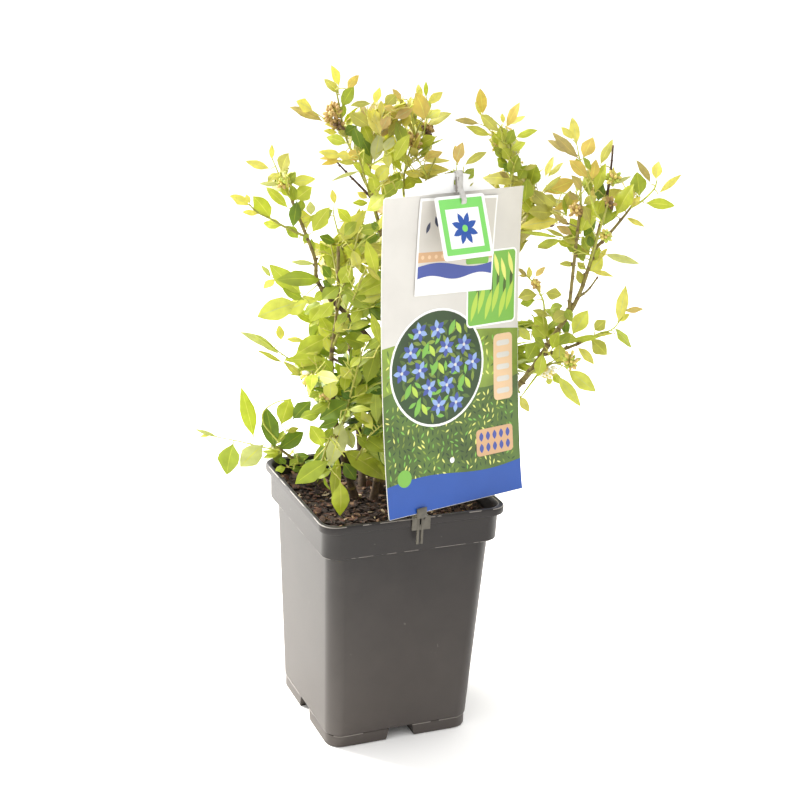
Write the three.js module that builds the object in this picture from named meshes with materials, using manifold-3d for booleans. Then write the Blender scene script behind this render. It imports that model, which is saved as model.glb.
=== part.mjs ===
// A highbush blueberry growing in a square nursery pot: the pot and its soil, the canes and boughs,
// the leafy sprays, and the plant's picture label, which is clipped to the rim and carries a booklet
// and a small hang tag on a strap.
// Millimetres, +Z up. The origin is the middle of the pot's flat underside, and the pot's four sides
// face along X and Y.

import * as THREE from 'three';
import { mergeVertices } from 'three/addons/utils/BufferGeometryUtils.js';
import Module from 'manifold-3d';

const wasm = await Module();
wasm.setup();

// Clearance between pieces that rest on each other, and between a limb and what grows on it
const GAP = 0.3;
const GRAFT_GAP = 0.4;
const SEAT_STEP = 0.1;
const MERGE_DISTANCE = 1e-4;
const SLIVER_WIDTH = 0.05;
const UP = new THREE.Vector3(0, 0, 1);

// Pot: a square container of about three litres, 15 cm wide at the lip
const POT_HEIGHT = 197.7;
const WALL = 1.3;
const LIP_WIDTH = 152;
const LIP_HEIGHT = 6.4;
const LIP_BEVEL = 0.8;
const COLLAR_WIDTH = 144.6;
const COLLAR_TOP_WIDTH = 145.4;
const COLLAR_BOTTOM = 168.8;
const COLLAR_SLOPE = 1.2;
const BODY_TOP_WIDTH = 135;
const BODY_FOOT_WIDTH = 121.4;
const FOOT_WIDTH = 120.2;
const FOOT_HEIGHT = 10;
const FOOT_STEP = 0.6;
const CORNER_RADIUS = 12.7;
const CORNER_STEPS = 3;
const NOTCH_FOOT_WIDTH = 25.5;
const NOTCH_ROOF_WIDTH = 20.5;
const NOTCH_HEIGHT = 10;
const CHANNEL_INNER_END = 22;
const DRAIN_HOLE_DIAMETER = 9;
const DRAIN_HOLE_SIDES = 10;
const DRAIN_HOLE_PLACE = 40;
const SOIL_TOP = 186;
const CUT_OVERRUN = 2;

// Picture label: a card that stands over the front rim, turned and leaning back, hollow to the front
const LABEL_CORNER = new THREE.Vector3(-28.5, -86.1, 203.1);
const LABEL_TURN = 15.2;
const LABEL_LEAN = 6.3;
const LABEL_ROLL = -0.8;
const LABEL_WIDTH = 132.2;
const LABEL_HEIGHT = 238.3;
const LABEL_THICKNESS = 0.7;
const LABEL_HOLLOW = 6.3;
const LABEL_ROWS = 9;
const TAB_LEFT = 19;
const TAB_RIGHT = 104;
const TAB_RISE = 14.3;
const TAB_ROWS = 6;
const TAB_CROWN_WIDTH = 8;
const STRAP_SLOT_PLACE = 68;
const STRAP_SLOT_HEIGHT = 243.5;
const STRAP_SLOT_WIDTH = 8.4;
const STRAP_SLOT_OPENING = 4.2;

// Booklet that lies on the card, and the hang tag in front of it
const BOOKLET_WIDTH = 73.8;
const BOOKLET_HEIGHT = 71.7;
const BOOKLET_THICKNESS = 0.8;
const BOOKLET_CLEARANCE = 0.7;
const BOOKLET_LEFT = 29.6;
const BOOKLET_BOTTOM = 164.6;
const BOOKLET_TILT = -2.2;
const BOOKLET_ROWS = 4;
const TAG_SIZE = 46.6;
const TAG_THICKNESS = 0.8;
const TAG_CORNER_RADIUS = 2.5;
const TAG_TOP_PLACE = 64;
const TAG_TOP_HEIGHT = 236.5;
const TAG_STAND_OFF = 5.2;
const TAG_SWING = 14.8;
const TAG_SLOT_DROP = 5;
const STRAP_WIDTH = 7;
const STRAP_THICKNESS = 0.8;

// The strap's way, as [to the back, up] from the middle of the card's slot and of the tag's slot
const STRAP_AT_CARD = [[4.4, 7], [3.2, 3.2], [0.35, 0.1], [-2.6, -2.6]];
const STRAP_AT_TAG = [[-2.3, 8.1], [-2.2, 3.5], [-0.4, 0], [1.9, -3.1]];

// Clip that holds the card over the rim
const CLIP_LEFT = -6;
const CLIP_RIGHT = 9;
const CLIP_PLATE_BOTTOM = 188.5;
const CLIP_WALL = 1.2;
const CLIP_RIB_BOTTOM = 177;
const CLIP_RIB_WIDTH = 1.8;
const CLIP_RIB_DEPTH = 1.8;
const CLIP_RIB_PLACES = [-1.1, 2.3];
const CLIP_JAW_PLACE = 30;
const CLIP_JAW_WIDTH = 9;
const CLIP_JAW_HEIGHT = 8;
const CLIP_JAW_DEPTH = 3.9;
const CLIP_JAW_DROP = 3.7;

// Canes: each stands on the soil at `foot` and runs through `way` to its tip
const CANE_SIDES = 6;
const BOUGH_SIDES = 5;
const RINGS_PER_SPAN = 2;
const BOUGH_STEPS = 4;
const ROOT_FLARE = 0.55;
const ROOT_FLARE_LENGTH = 7;
const SEAT_HEIGHT = SOIL_TOP + GAP;
const CANES = [
  { name: 'cane_left', foot: [-8, -3], radii: [2.4, 1.2],
    way: [[1, -4, 262], [-14, -9, 314], [-55, 2, 360], [-60, 6, 384], [-74, 19, 424]] },
  { name: 'cane_left_centre', foot: [-22, 3], radii: [2.7, 1.1],
    way: [[-44, -9, 254], [-50, -11, 307], [-45, -7, 353], [-41, 11, 440]] },
  { name: 'cane_centre', foot: [1, 9], radii: [2.6, 1.1],
    way: [[11, 8, 280], [9, 14, 344], [-14, 11, 432]] },
  { name: 'cane_centre_top', foot: [11, 18], radii: [2.6, 1.1],
    way: [[35, 20, 275], [31, 24, 348], [17, 21, 424]] },
  { name: 'cane_mid_right', foot: [20, 9], radii: [2.7, 1.2],
    way: [[66, 9, 275], [90, 5, 349], [96, -4, 431]] },
  { name: 'cane_right', foot: [10, -6], radii: [3.2, 1.2],
    way: [[59, -17, 243], [101, -29, 280], [119, -48, 325], [132, -61, 364], [142, -70, 431]] },
  { name: 'cane_low_left', foot: [-38, 27], radii: [1.9, 1.1],
    way: [[-48, 34, 199], [-73, 40, 219]] },
  { name: 'cane_back_left', foot: [-6, 26], radii: [2.5, 1.1],
    way: [[1, 76, 270], [-5, 98, 346]] },
  { name: 'cane_back_right', foot: [20, 30], radii: [2.5, 1.1],
    way: [[76, 54, 264], [112, 66, 339]] },
];

// Boughs: each grows from a limb at a share of its length and ends at `tip`, raised by `arch` midway
const BOUGHS = [
  { name: 'bough_small_centre', on: 'cane_centre_top', at: 0.5,
    tip: [40, -33, 431], arch: 6, radii: [1.5, 0.9] },
  { name: 'bough_right_fork', on: 'cane_right', at: 0.7,
    tip: [116, -78, 433], arch: 4, radii: [1.5, 1] },
  { name: 'bough_far_right', on: 'cane_right', at: 0.9,
    tip: [166, -67, 428], arch: -3, radii: [1.4, 0.9] },
  { name: 'bough_right_low', on: 'cane_right', at: 0.52,
    tip: [147, -54, 322], arch: -3, radii: [1.6, 1] },
  { name: 'bough_low_front', on: 'cane_left_centre', at: 0.14,
    tip: [-50, -22, 250], arch: 4, radii: [1.4, 1] },
  { name: 'bough_back_left', on: 'cane_back_left', at: 0.5,
    tip: [-19, 106, 279], arch: -3, radii: [1.4, 0.9] },
];

// Sprays: each grows from a limb at a share of its length. `reach` is how far its side shoots run,
// `leaf` is its longest leaf, and `lift` bends its shoots up or, below nought, down
const SPRAYS = [
  { name: 'spray_top_left', on: 'cane_left_centre', at: 1,
    tip: [-43, 14, 503], reach: 30, shoots: 4, leaf: 29, lift: 0.5 },
  { name: 'spray_top_left_spur', on: 'cane_left_centre', at: 0.96,
    tip: [-68, 5, 485], reach: 20, shoots: 1, leaf: 27, lift: 0.3 },
  { name: 'spray_top_centre', on: 'cane_centre', at: 1,
    tip: [-8, 6, 491], reach: 30, shoots: 4, leaf: 30, lift: 0.5 },
  { name: 'spray_top_centre_right', on: 'cane_centre_top', at: 1,
    tip: [30, 16, 488], reach: 30, shoots: 4, leaf: 30, lift: 0.5 },
  { name: 'spray_top_middle', on: 'cane_centre', at: 0.88,
    tip: [-37, -13, 469], reach: 26, shoots: 3, leaf: 29, lift: 0.4 },
  { name: 'spray_top_centre_low', on: 'cane_centre_top', at: 0.9,
    tip: [29, -8, 458], reach: 24, shoots: 3, leaf: 29, lift: 0.2 },
  { name: 'spray_small_centre', on: 'bough_small_centre', at: 1,
    tip: [38, -35, 463], reach: 14, shoots: 0, leaf: 19, lift: 0.6 },
  { name: 'spray_mid_right', on: 'cane_mid_right', at: 1,
    tip: [80, 3, 490], reach: 28, shoots: 4, leaf: 28, lift: 0.6 },
  { name: 'spray_mid_right_low', on: 'cane_mid_right', at: 0.84,
    tip: [128, 0, 429], reach: 26, shoots: 3, leaf: 30, lift: 0.3 },
  { name: 'spray_right_fork', on: 'bough_right_fork', at: 1,
    tip: [108, -72, 475], reach: 28, shoots: 3, leaf: 30, lift: 0.5 },
  { name: 'spray_right_top', on: 'cane_right', at: 1,
    tip: [139, -66, 456], reach: 24, shoots: 3, leaf: 28, lift: 0.5 },
  { name: 'spray_right_top_low', on: 'cane_right', at: 0.86,
    tip: [122, -107, 440], reach: 24, shoots: 3, leaf: 29, lift: 0.3 },
  { name: 'spray_far_right', on: 'bough_far_right', at: 1,
    tip: [182, -67, 437], reach: 24, shoots: 3, leaf: 29, lift: 0.3 },
  { name: 'spray_right_inner', on: 'cane_right', at: 0.72,
    tip: [119, -38, 412], reach: 26, shoots: 3, leaf: 29, lift: 0.3 },
  { name: 'spray_right_low_left', on: 'cane_right', at: 0.56,
    tip: [116, -26, 344], reach: 24, shoots: 3, leaf: 31, lift: 0.3 },
  { name: 'spray_right_low', on: 'cane_right', at: 0.44,
    tip: [116, -87, 315], reach: 28, shoots: 4, leaf: 34, lift: -0.1, blossom: 3 },
  { name: 'spray_right_low_right', on: 'bough_right_low', at: 1,
    tip: [170, -55, 337], reach: 22, shoots: 2, leaf: 28, lift: 0.2 },
  { name: 'spray_left_upper', on: 'cane_left', at: 1,
    tip: [-82, 24, 445], reach: 28, shoots: 3, leaf: 30, lift: 0.4 },
  { name: 'spray_left_spur', on: 'cane_left', at: 0.86,
    tip: [-111, 15, 422], reach: 24, shoots: 2, leaf: 30, lift: 0.1 },
  { name: 'spray_upper_mid', on: 'cane_left_centre', at: 0.72,
    tip: [-32, -25, 426], reach: 28, shoots: 3, leaf: 31, lift: 0.4 },
  { name: 'spray_upper_left_mid', on: 'cane_left_centre', at: 0.8,
    tip: [-43, 42, 422], reach: 24, shoots: 2, leaf: 28, lift: 0.4 },
  { name: 'spray_left_mid', on: 'cane_left', at: 0.64,
    tip: [-92, 0, 371], reach: 28, shoots: 3, leaf: 32, lift: 0.2 },
  { name: 'spray_mid', on: 'cane_left_centre', at: 0.55,
    tip: [-38, -45, 386], reach: 28, shoots: 3, leaf: 32, lift: 0.4 },
  { name: 'spray_left_mid_low', on: 'cane_left', at: 0.5,
    tip: [-76, 56, 333], reach: 28, shoots: 3, leaf: 32, lift: 0.1 },
  { name: 'spray_left_low', on: 'cane_left_centre', at: 0.42,
    tip: [-81, 19, 308], reach: 26, shoots: 3, leaf: 33, lift: 0.1 },
  { name: 'spray_left_low_front', on: 'cane_left_centre', at: 0.3,
    tip: [-76, -39, 309], reach: 28, shoots: 4, leaf: 33, lift: 0.2, blossom: 3 },
  { name: 'spray_mid_low', on: 'cane_left_centre', at: 0.2,
    tip: [-39, -46, 325], reach: 30, shoots: 4, leaf: 34, lift: 0.3 },
  { name: 'spray_mid_low_back', on: 'cane_left', at: 0.2,
    tip: [-13, 38, 255], reach: 28, shoots: 3, leaf: 34, lift: 0.3 },
  { name: 'spray_low_left', on: 'cane_low_left', at: 1,
    tip: [-110, 47, 211], reach: 26, shoots: 3, leaf: 35, lift: -0.1 },
  { name: 'spray_low_left_up', on: 'cane_low_left', at: 0.55,
    tip: [-89, 36, 255], reach: 26, shoots: 3, leaf: 36, lift: 0.3 },
  { name: 'spray_low_centre', on: 'bough_low_front', at: 1,
    tip: [-66, -39, 237], reach: 28, shoots: 3, leaf: 36, lift: -0.3 },
  { name: 'spray_low_centre_right', on: 'cane_left_centre', at: 0.08,
    tip: [-28, -43, 258], reach: 26, shoots: 3, leaf: 35, lift: 0.1 },
  { name: 'spray_back_left_high', on: 'cane_back_left', at: 1,
    tip: [-14, 102, 384], reach: 34, shoots: 4, leaf: 34, lift: 0.4 },
  { name: 'spray_back_left_low', on: 'bough_back_left', at: 1,
    tip: [-38, 116, 285], reach: 34, shoots: 3, leaf: 34, lift: 0.2 },
  { name: 'spray_back_centre', on: 'cane_centre_top', at: 0.55,
    tip: [41, 74, 371], reach: 34, shoots: 3, leaf: 34, lift: 0.4 },
  { name: 'spray_back_right_high', on: 'cane_back_right', at: 1,
    tip: [118, 71, 388], reach: 34, shoots: 4, leaf: 33, lift: 0.4 },
  { name: 'spray_back_right_low', on: 'cane_back_right', at: 0.5,
    tip: [123, 52, 281], reach: 32, shoots: 3, leaf: 34, lift: 0.1 },
  { name: 'spray_back_low', on: 'cane_back_left', at: 0.3,
    tip: [50, 89, 240], reach: 32, shoots: 3, leaf: 35, lift: 0.2 },
];

// The growing rule's own measures
const GOLDEN_ANGLE = 137.5 * Math.PI / 180;
const TWIG_SIDES = 3;
const STEM_RADII = [1.25, 0.95];
const SHOOT_RADII = [1, 0.8];
const STEM_STEPS = 3;
const SHOOT_STEP_LENGTH = 15;
const SHOOT_ANGLES = [68 * Math.PI / 180, 38 * Math.PI / 180];
const SHOOT_LIFT = 0.16;
const LEAF_SPACING = 11.5;
const LEAF_WIDTH_SHARE = 0.42;
const LEAF_WIDEST_SHARE = 0.45;
const LEAF_ROOT_SINK = 0.25;
const LEAF_KEEL_PLACE = 3.2;
const LEAF_KEEL_DEPTH = 0.75;
const LEAF_TRIES = 5;
const LEAF_ROLL = 2.2;
const ROSETTE_LEAVES = 3;
const ROSETTE_SPACING = 2.6;
const SPACE_MARGIN = 1.6;
const LIMB_MARGIN = 2.1;
const TWIG_MARGIN = 1.1;
const RIM_MARGIN = 3;
const SOIL_MARGIN = 3;
const LABEL_SIDE_MARGIN = 4;
const LABEL_BACK_MARGIN = 3.5;
const BLOSSOM_LENGTH = 7;
const BLOSSOM_RADIUS = 2.6;

const COLOURS = {
  pot: 0x55504d, soil: 0x49331f, clip: 0x74706a, card: 0xebe5dd, booklet: 0xe9e4dc,
  tag: 0xf4f4f2, strap: 0xa8a49c, cane: 0x6b5138, bough: 0x7b6b3a, spray: 0x9ea83a,
};

// ---- Solids ----

function solidOf(geometry) {
  const bare = geometry.clone();
  bare.deleteAttribute('normal');
  bare.deleteAttribute('uv');
  const merged = mergeVertices(bare, MERGE_DISTANCE);
  return new wasm.Manifold(new wasm.Mesh({
    numProp: 3,
    vertProperties: Float32Array.from(merged.attributes.position.array),
    triVerts: Uint32Array.from(merged.index.array),
  }));
}

function geometryOf(solid) {
  const mesh = solid.getMesh();
  const geometry = new THREE.BufferGeometry();
  geometry.setAttribute('position', new THREE.BufferAttribute(Float32Array.from(mesh.vertProperties), 3));
  geometry.setIndex(new THREE.BufferAttribute(Uint32Array.from(mesh.triVerts), 1));
  geometry.computeVertexNormals();
  return geometry;
}

function joined(solids) {
  return wasm.Manifold.union(solids);
}

// One body without its slivers, sealed hollows and loose scraps
function largestBody(solid) {
  const bodies = solid.simplify(SLIVER_WIDTH).decompose();
  return bodies.reduce((best, next) => (next.volume() > best.volume() ? next : best));
}

function cuts(solid, other) {
  const one = solid.boundingBox();
  const two = other.boundingBox();
  const apart = one.min.some((low, axis) => low > two.max[axis] || two.min[axis] > one.max[axis]);
  return !apart && !solid.intersect(other).isEmpty();
}

function mesh(name, geometry, colour, roughness) {
  const material = new THREE.MeshStandardMaterial({ color: colour, roughness, metalness: 0 });
  const piece = new THREE.Mesh(geometry, material);
  piece.name = name;
  return piece;
}

// A closed body through a stack of rings, each going anticlockwise seen from the last one and
// without a corner at the middle of its ends
function ringGeometry(rings) {
  const sides = rings[0].length;
  const steps = rings.length - 1;
  const geometry = new THREE.CylinderGeometry(1, 1, steps, sides, steps);
  const places = geometry.attributes.position;
  const place = new THREE.Vector3();
  for (let index = 0; index < places.count; index++) {
    place.fromBufferAttribute(places, index);
    const ring = rings[Math.round(place.y + steps / 2)];
    const turn = Math.atan2(place.x, place.z) / (2 * Math.PI);
    place.copy(ring[(Math.round(turn * sides) + sides) % sides]);
    places.setXYZ(index, place.x, place.y, place.z);
  }
  return withoutFlatFaces(geometry);
}

// The same surface with its shared corners merged, less the faces that have two corners in one place
function withoutFlatFaces(geometry) {
  geometry.deleteAttribute('normal');
  geometry.deleteAttribute('uv');
  const merged = mergeVertices(geometry, MERGE_DISTANCE);
  const corners = merged.index.array;
  const kept = [];
  for (let index = 0; index < corners.length; index += 3) {
    const [a, b, c] = corners.slice(index, index + 3);
    if (a !== b && b !== c && c !== a) {
      kept.push(a, b, c);
    }
  }
  merged.setIndex(kept);
  merged.computeVertexNormals();
  return merged;
}

function box(low, high) {
  const size = new THREE.Vector3().subVectors(high, low);
  const middle = new THREE.Vector3().addVectors(high, low).multiplyScalar(0.5);
  return new THREE.BoxGeometry(size.x, size.y, size.z).translate(middle.x, middle.y, middle.z);
}

// ---- Pot and soil ----

function squareRing(width, height, cornerRadius) {
  const inset = width / 2 - cornerRadius;
  const ring = [];
  for (let corner = 0; corner < 4; corner++) {
    const sideX = corner === 0 || corner === 3 ? 1 : -1;
    const sideY = corner < 2 ? 1 : -1;
    for (let step = 0; step <= CORNER_STEPS; step++) {
      const angle = (corner + step / CORNER_STEPS) * Math.PI / 2;
      ring.push(new THREE.Vector3(
        sideX * inset + cornerRadius * Math.cos(angle),
        sideY * inset + cornerRadius * Math.sin(angle),
        height,
      ));
    }
  }
  return ring;
}

function potOutside() {
  const lipBottom = POT_HEIGHT - LIP_HEIGHT;
  const profile = [
    [FOOT_WIDTH - 2 * FOOT_STEP, 0],
    [FOOT_WIDTH, FOOT_STEP],
    [FOOT_WIDTH, FOOT_HEIGHT],
    [BODY_FOOT_WIDTH, FOOT_HEIGHT + FOOT_STEP],
    [BODY_TOP_WIDTH, COLLAR_BOTTOM],
    [COLLAR_WIDTH, COLLAR_BOTTOM + COLLAR_SLOPE],
    [COLLAR_TOP_WIDTH, lipBottom],
    [LIP_WIDTH - LIP_BEVEL, lipBottom],
    [LIP_WIDTH, lipBottom + LIP_BEVEL],
    [LIP_WIDTH, POT_HEIGHT - LIP_BEVEL],
    [LIP_WIDTH - 2 * LIP_BEVEL, POT_HEIGHT],
  ];
  return solidOf(ringGeometry(profile.map(([width, height]) => squareRing(width, height, CORNER_RADIUS))));
}

// The four channels that run in from the notches, grown by a wall where they stand up inside
function channels(growth) {
  const foot = NOTCH_FOOT_WIDTH / 2 + growth;
  const roof = NOTCH_ROOF_WIDTH / 2 + growth;
  const outline = new THREE.Shape();
  outline.moveTo(-foot, -CUT_OVERRUN);
  outline.lineTo(foot, -CUT_OVERRUN);
  outline.lineTo(roof, NOTCH_HEIGHT + growth);
  outline.lineTo(-roof, NOTCH_HEIGHT + growth);
  const inner = CHANNEL_INNER_END - growth;
  const outer = FOOT_WIDTH / 2 + CUT_OVERRUN;
  const solids = [];
  for (let side = 0; side < 4; side++) {
    const channel = new THREE.ExtrudeGeometry(outline, { depth: outer - inner, bevelEnabled: false });
    channel.rotateX(Math.PI / 2);
    channel.translate(0, -inner, 0);
    channel.rotateZ(side * Math.PI / 2);
    solids.push(solidOf(channel));
  }
  return joined(solids);
}

// What fills the pot up to a height, standing clear of the walls by a clearance
function potInside(clearance, top) {
  const shrink = 2 * (WALL + clearance);
  const radius = CORNER_RADIUS - WALL - clearance;
  const floor = WALL + clearance;
  const shoulder = COLLAR_BOTTOM + WALL + clearance;
  const profile = [
    [BODY_FOOT_WIDTH - shrink - 2 * FOOT_STEP, floor],
    [BODY_TOP_WIDTH - shrink, shoulder],
    [COLLAR_WIDTH - shrink, shoulder + COLLAR_SLOPE],
    [COLLAR_WIDTH - shrink, top],
  ];
  const filled = solidOf(ringGeometry(profile.map(([width, height]) => squareRing(width, height, radius))));
  return filled.subtract(channels(WALL + clearance));
}

function drainHoles() {
  const solids = [];
  for (let side = 0; side < 4; side++) {
    const hole = new THREE.CylinderGeometry(
      DRAIN_HOLE_DIAMETER / 2, DRAIN_HOLE_DIAMETER / 2, 2 * CUT_OVERRUN, DRAIN_HOLE_SIDES,
    );
    hole.rotateX(Math.PI / 2);
    hole.translate(0, -DRAIN_HOLE_PLACE, NOTCH_HEIGHT + WALL / 2);
    hole.rotateZ(side * Math.PI / 2);
    solids.push(solidOf(hole));
  }
  return joined(solids);
}

function potMesh() {
  const shell = potOutside().subtract(channels(0)).subtract(potInside(0, POT_HEIGHT + CUT_OVERRUN));
  return mesh('pot', geometryOf(shell.subtract(drainHoles())), COLOURS.pot, 0.55);
}

function soilMesh() {
  return mesh('soil', geometryOf(potInside(GAP, SOIL_TOP)), COLOURS.soil, 1);
}

// ---- Label ----

// The label's own frame: x to its right, y to its back and z up its face, from its lower left corner
function labelMatrix() {
  const turn = THREE.MathUtils.degToRad(LABEL_TURN);
  const lean = THREE.MathUtils.degToRad(LABEL_LEAN);
  const roll = THREE.MathUtils.degToRad(LABEL_ROLL);
  const matrix = new THREE.Matrix4().makeRotationZ(turn);
  matrix.multiply(new THREE.Matrix4().makeRotationX(-lean));
  matrix.multiply(new THREE.Matrix4().makeRotationY(-roll));
  return matrix.setPosition(LABEL_CORNER);
}

const LABEL_TO_POT = labelMatrix();
const POT_TO_LABEL = LABEL_TO_POT.clone().invert();

// How far the card lies behind the straight line between its foot and its top
function hollowAt(height) {
  const share = THREE.MathUtils.clamp(height / LABEL_HEIGHT, 0, 1);
  return LABEL_HOLLOW * Math.sin(Math.PI * share) ** 0.7;
}

function sheetRing(left, right, height, front, thickness, tilt = 0) {
  const corners = [[left, front], [right, front], [right, front + thickness], [left, front + thickness]];
  return corners.map(([x, y]) => {
    const place = new THREE.Vector3(x, 0, height).applyAxisAngle(new THREE.Vector3(0, 1, 0), -tilt);
    return place.setY(y);
  });
}

function bent(ring, offset = new THREE.Vector3()) {
  ring.forEach((corner) => {
    corner.add(offset);
    corner.y += hollowAt(corner.z);
  });
  return ring;
}

function cardMesh() {
  const rings = [];
  for (let row = 0; row <= LABEL_ROWS; row++) {
    rings.push(bent(sheetRing(0, LABEL_WIDTH, LABEL_HEIGHT * row / LABEL_ROWS, 0, LABEL_THICKNESS)));
  }
  const middle = (TAB_LEFT + TAB_RIGHT) / 2;
  const halfWidth = (TAB_RIGHT - TAB_LEFT) / 2;
  const arcRadius = (halfWidth ** 2 + TAB_RISE ** 2) / (2 * TAB_RISE);
  const crown = arcRadius - Math.sqrt(arcRadius ** 2 - (TAB_CROWN_WIDTH / 2) ** 2);
  for (let row = 0; row <= TAB_ROWS; row++) {
    const rise = (TAB_RISE - crown) * Math.sin(Math.PI / 2 * row / TAB_ROWS);
    const half = Math.sqrt(arcRadius ** 2 - (arcRadius - TAB_RISE + rise) ** 2);
    rings.push(sheetRing(middle - half, middle + half, LABEL_HEIGHT + rise, 0, LABEL_THICKNESS));
  }
  const slotTop = STRAP_SLOT_HEIGHT + STRAP_SLOT_OPENING;
  const slot = box(
    new THREE.Vector3(STRAP_SLOT_PLACE - STRAP_SLOT_WIDTH / 2, -CUT_OVERRUN, STRAP_SLOT_HEIGHT),
    new THREE.Vector3(STRAP_SLOT_PLACE + STRAP_SLOT_WIDTH / 2, CUT_OVERRUN, slotTop),
  );
  const card = solidOf(ringGeometry(rings)).subtract(solidOf(slot));
  return mesh('label_card', geometryOf(card), COLOURS.card, 0.4);
}

function bookletMesh() {
  const tilt = THREE.MathUtils.degToRad(BOOKLET_TILT);
  const front = -BOOKLET_CLEARANCE - BOOKLET_THICKNESS;
  const corner = new THREE.Vector3(BOOKLET_LEFT, 0, BOOKLET_BOTTOM);
  const rings = [];
  for (let row = 0; row <= BOOKLET_ROWS; row++) {
    const height = BOOKLET_HEIGHT * row / BOOKLET_ROWS;
    rings.push(bent(sheetRing(0, BOOKLET_WIDTH, height, front, BOOKLET_THICKNESS, tilt), corner));
  }
  return mesh('label_booklet', ringGeometry(rings), COLOURS.booklet, 0.4);
}

// The tag's own frame hangs from the middle of its top edge, with its foot swung out to the front
function tagMatrix() {
  const matrix = new THREE.Matrix4().makeRotationX(THREE.MathUtils.degToRad(-TAG_SWING));
  return matrix.setPosition(TAG_TOP_PLACE, -TAG_STAND_OFF, TAG_TOP_HEIGHT);
}

function roundedOutline(width, height, radius) {
  const outline = new THREE.Shape();
  outline.moveTo(-width / 2 + radius, -height);
  outline.lineTo(width / 2 - radius, -height);
  outline.absarc(width / 2 - radius, -height + radius, radius, -Math.PI / 2, 0);
  outline.absarc(width / 2 - radius, -radius, radius, 0, Math.PI / 2);
  outline.absarc(-width / 2 + radius, -radius, radius, Math.PI / 2, Math.PI);
  outline.absarc(-width / 2 + radius, -height + radius, radius, Math.PI, 1.5 * Math.PI);
  return outline;
}

function tagMesh() {
  const outline = roundedOutline(TAG_SIZE, TAG_SIZE, TAG_CORNER_RADIUS);
  const slot = new THREE.Path();
  const slotLeft = STRAP_SLOT_PLACE - TAG_TOP_PLACE - STRAP_SLOT_WIDTH / 2;
  slot.moveTo(slotLeft, -TAG_SLOT_DROP);
  slot.lineTo(slotLeft, -TAG_SLOT_DROP - STRAP_SLOT_OPENING);
  slot.lineTo(slotLeft + STRAP_SLOT_WIDTH, -TAG_SLOT_DROP - STRAP_SLOT_OPENING);
  slot.lineTo(slotLeft + STRAP_SLOT_WIDTH, -TAG_SLOT_DROP);
  outline.holes.push(slot);
  const plate = new THREE.ExtrudeGeometry(outline, {
    depth: TAG_THICKNESS, bevelEnabled: false, curveSegments: 3,
  });
  plate.rotateX(Math.PI / 2);
  const tag = mesh('hang_tag', plate, COLOURS.tag, 0.35);
  tag.applyMatrix4(tagMatrix());
  return tag;
}

// The strap comes from the shoot behind the card, through both slots, and ends behind the tag
function strapMesh() {
  const cardSlot = new THREE.Vector3(0, 0, STRAP_SLOT_HEIGHT + STRAP_SLOT_OPENING / 2);
  const tagSlot = new THREE.Vector3(0, 0, -TAG_SLOT_DROP - STRAP_SLOT_OPENING / 2);
  const path = [
    ...STRAP_AT_CARD.map(([back, up]) => cardSlot.clone().add(new THREE.Vector3(0, back, up))),
    ...STRAP_AT_TAG.map(([back, up]) => (
      tagSlot.clone().add(new THREE.Vector3(0, back, up)).applyMatrix4(tagMatrix())
    )),
  ];
  const left = STRAP_SLOT_PLACE - STRAP_WIDTH / 2;
  const right = STRAP_SLOT_PLACE + STRAP_WIDTH / 2;
  const rings = path.map((place, index) => {
    const before = path[Math.max(index - 1, 0)];
    const after = path[Math.min(index + 1, path.length - 1)];
    const along = after.clone().sub(before).setX(0).setLength(STRAP_THICKNESS / 2);
    return [[left, 1], [right, 1], [right, -1], [left, -1]].map(([x, side]) => (
      new THREE.Vector3(x, place.y - side * along.z, place.z + side * along.y)
    ));
  });
  return mesh('tag_strap', ringGeometry(rings), COLOURS.strap, 0.5);
}

function labelGroup() {
  const group = new THREE.Group();
  group.add(cardMesh(), bookletMesh(), tagMesh(), strapMesh());
  group.applyMatrix4(LABEL_TO_POT);
  return group;
}

// ---- Clip ----

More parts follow.
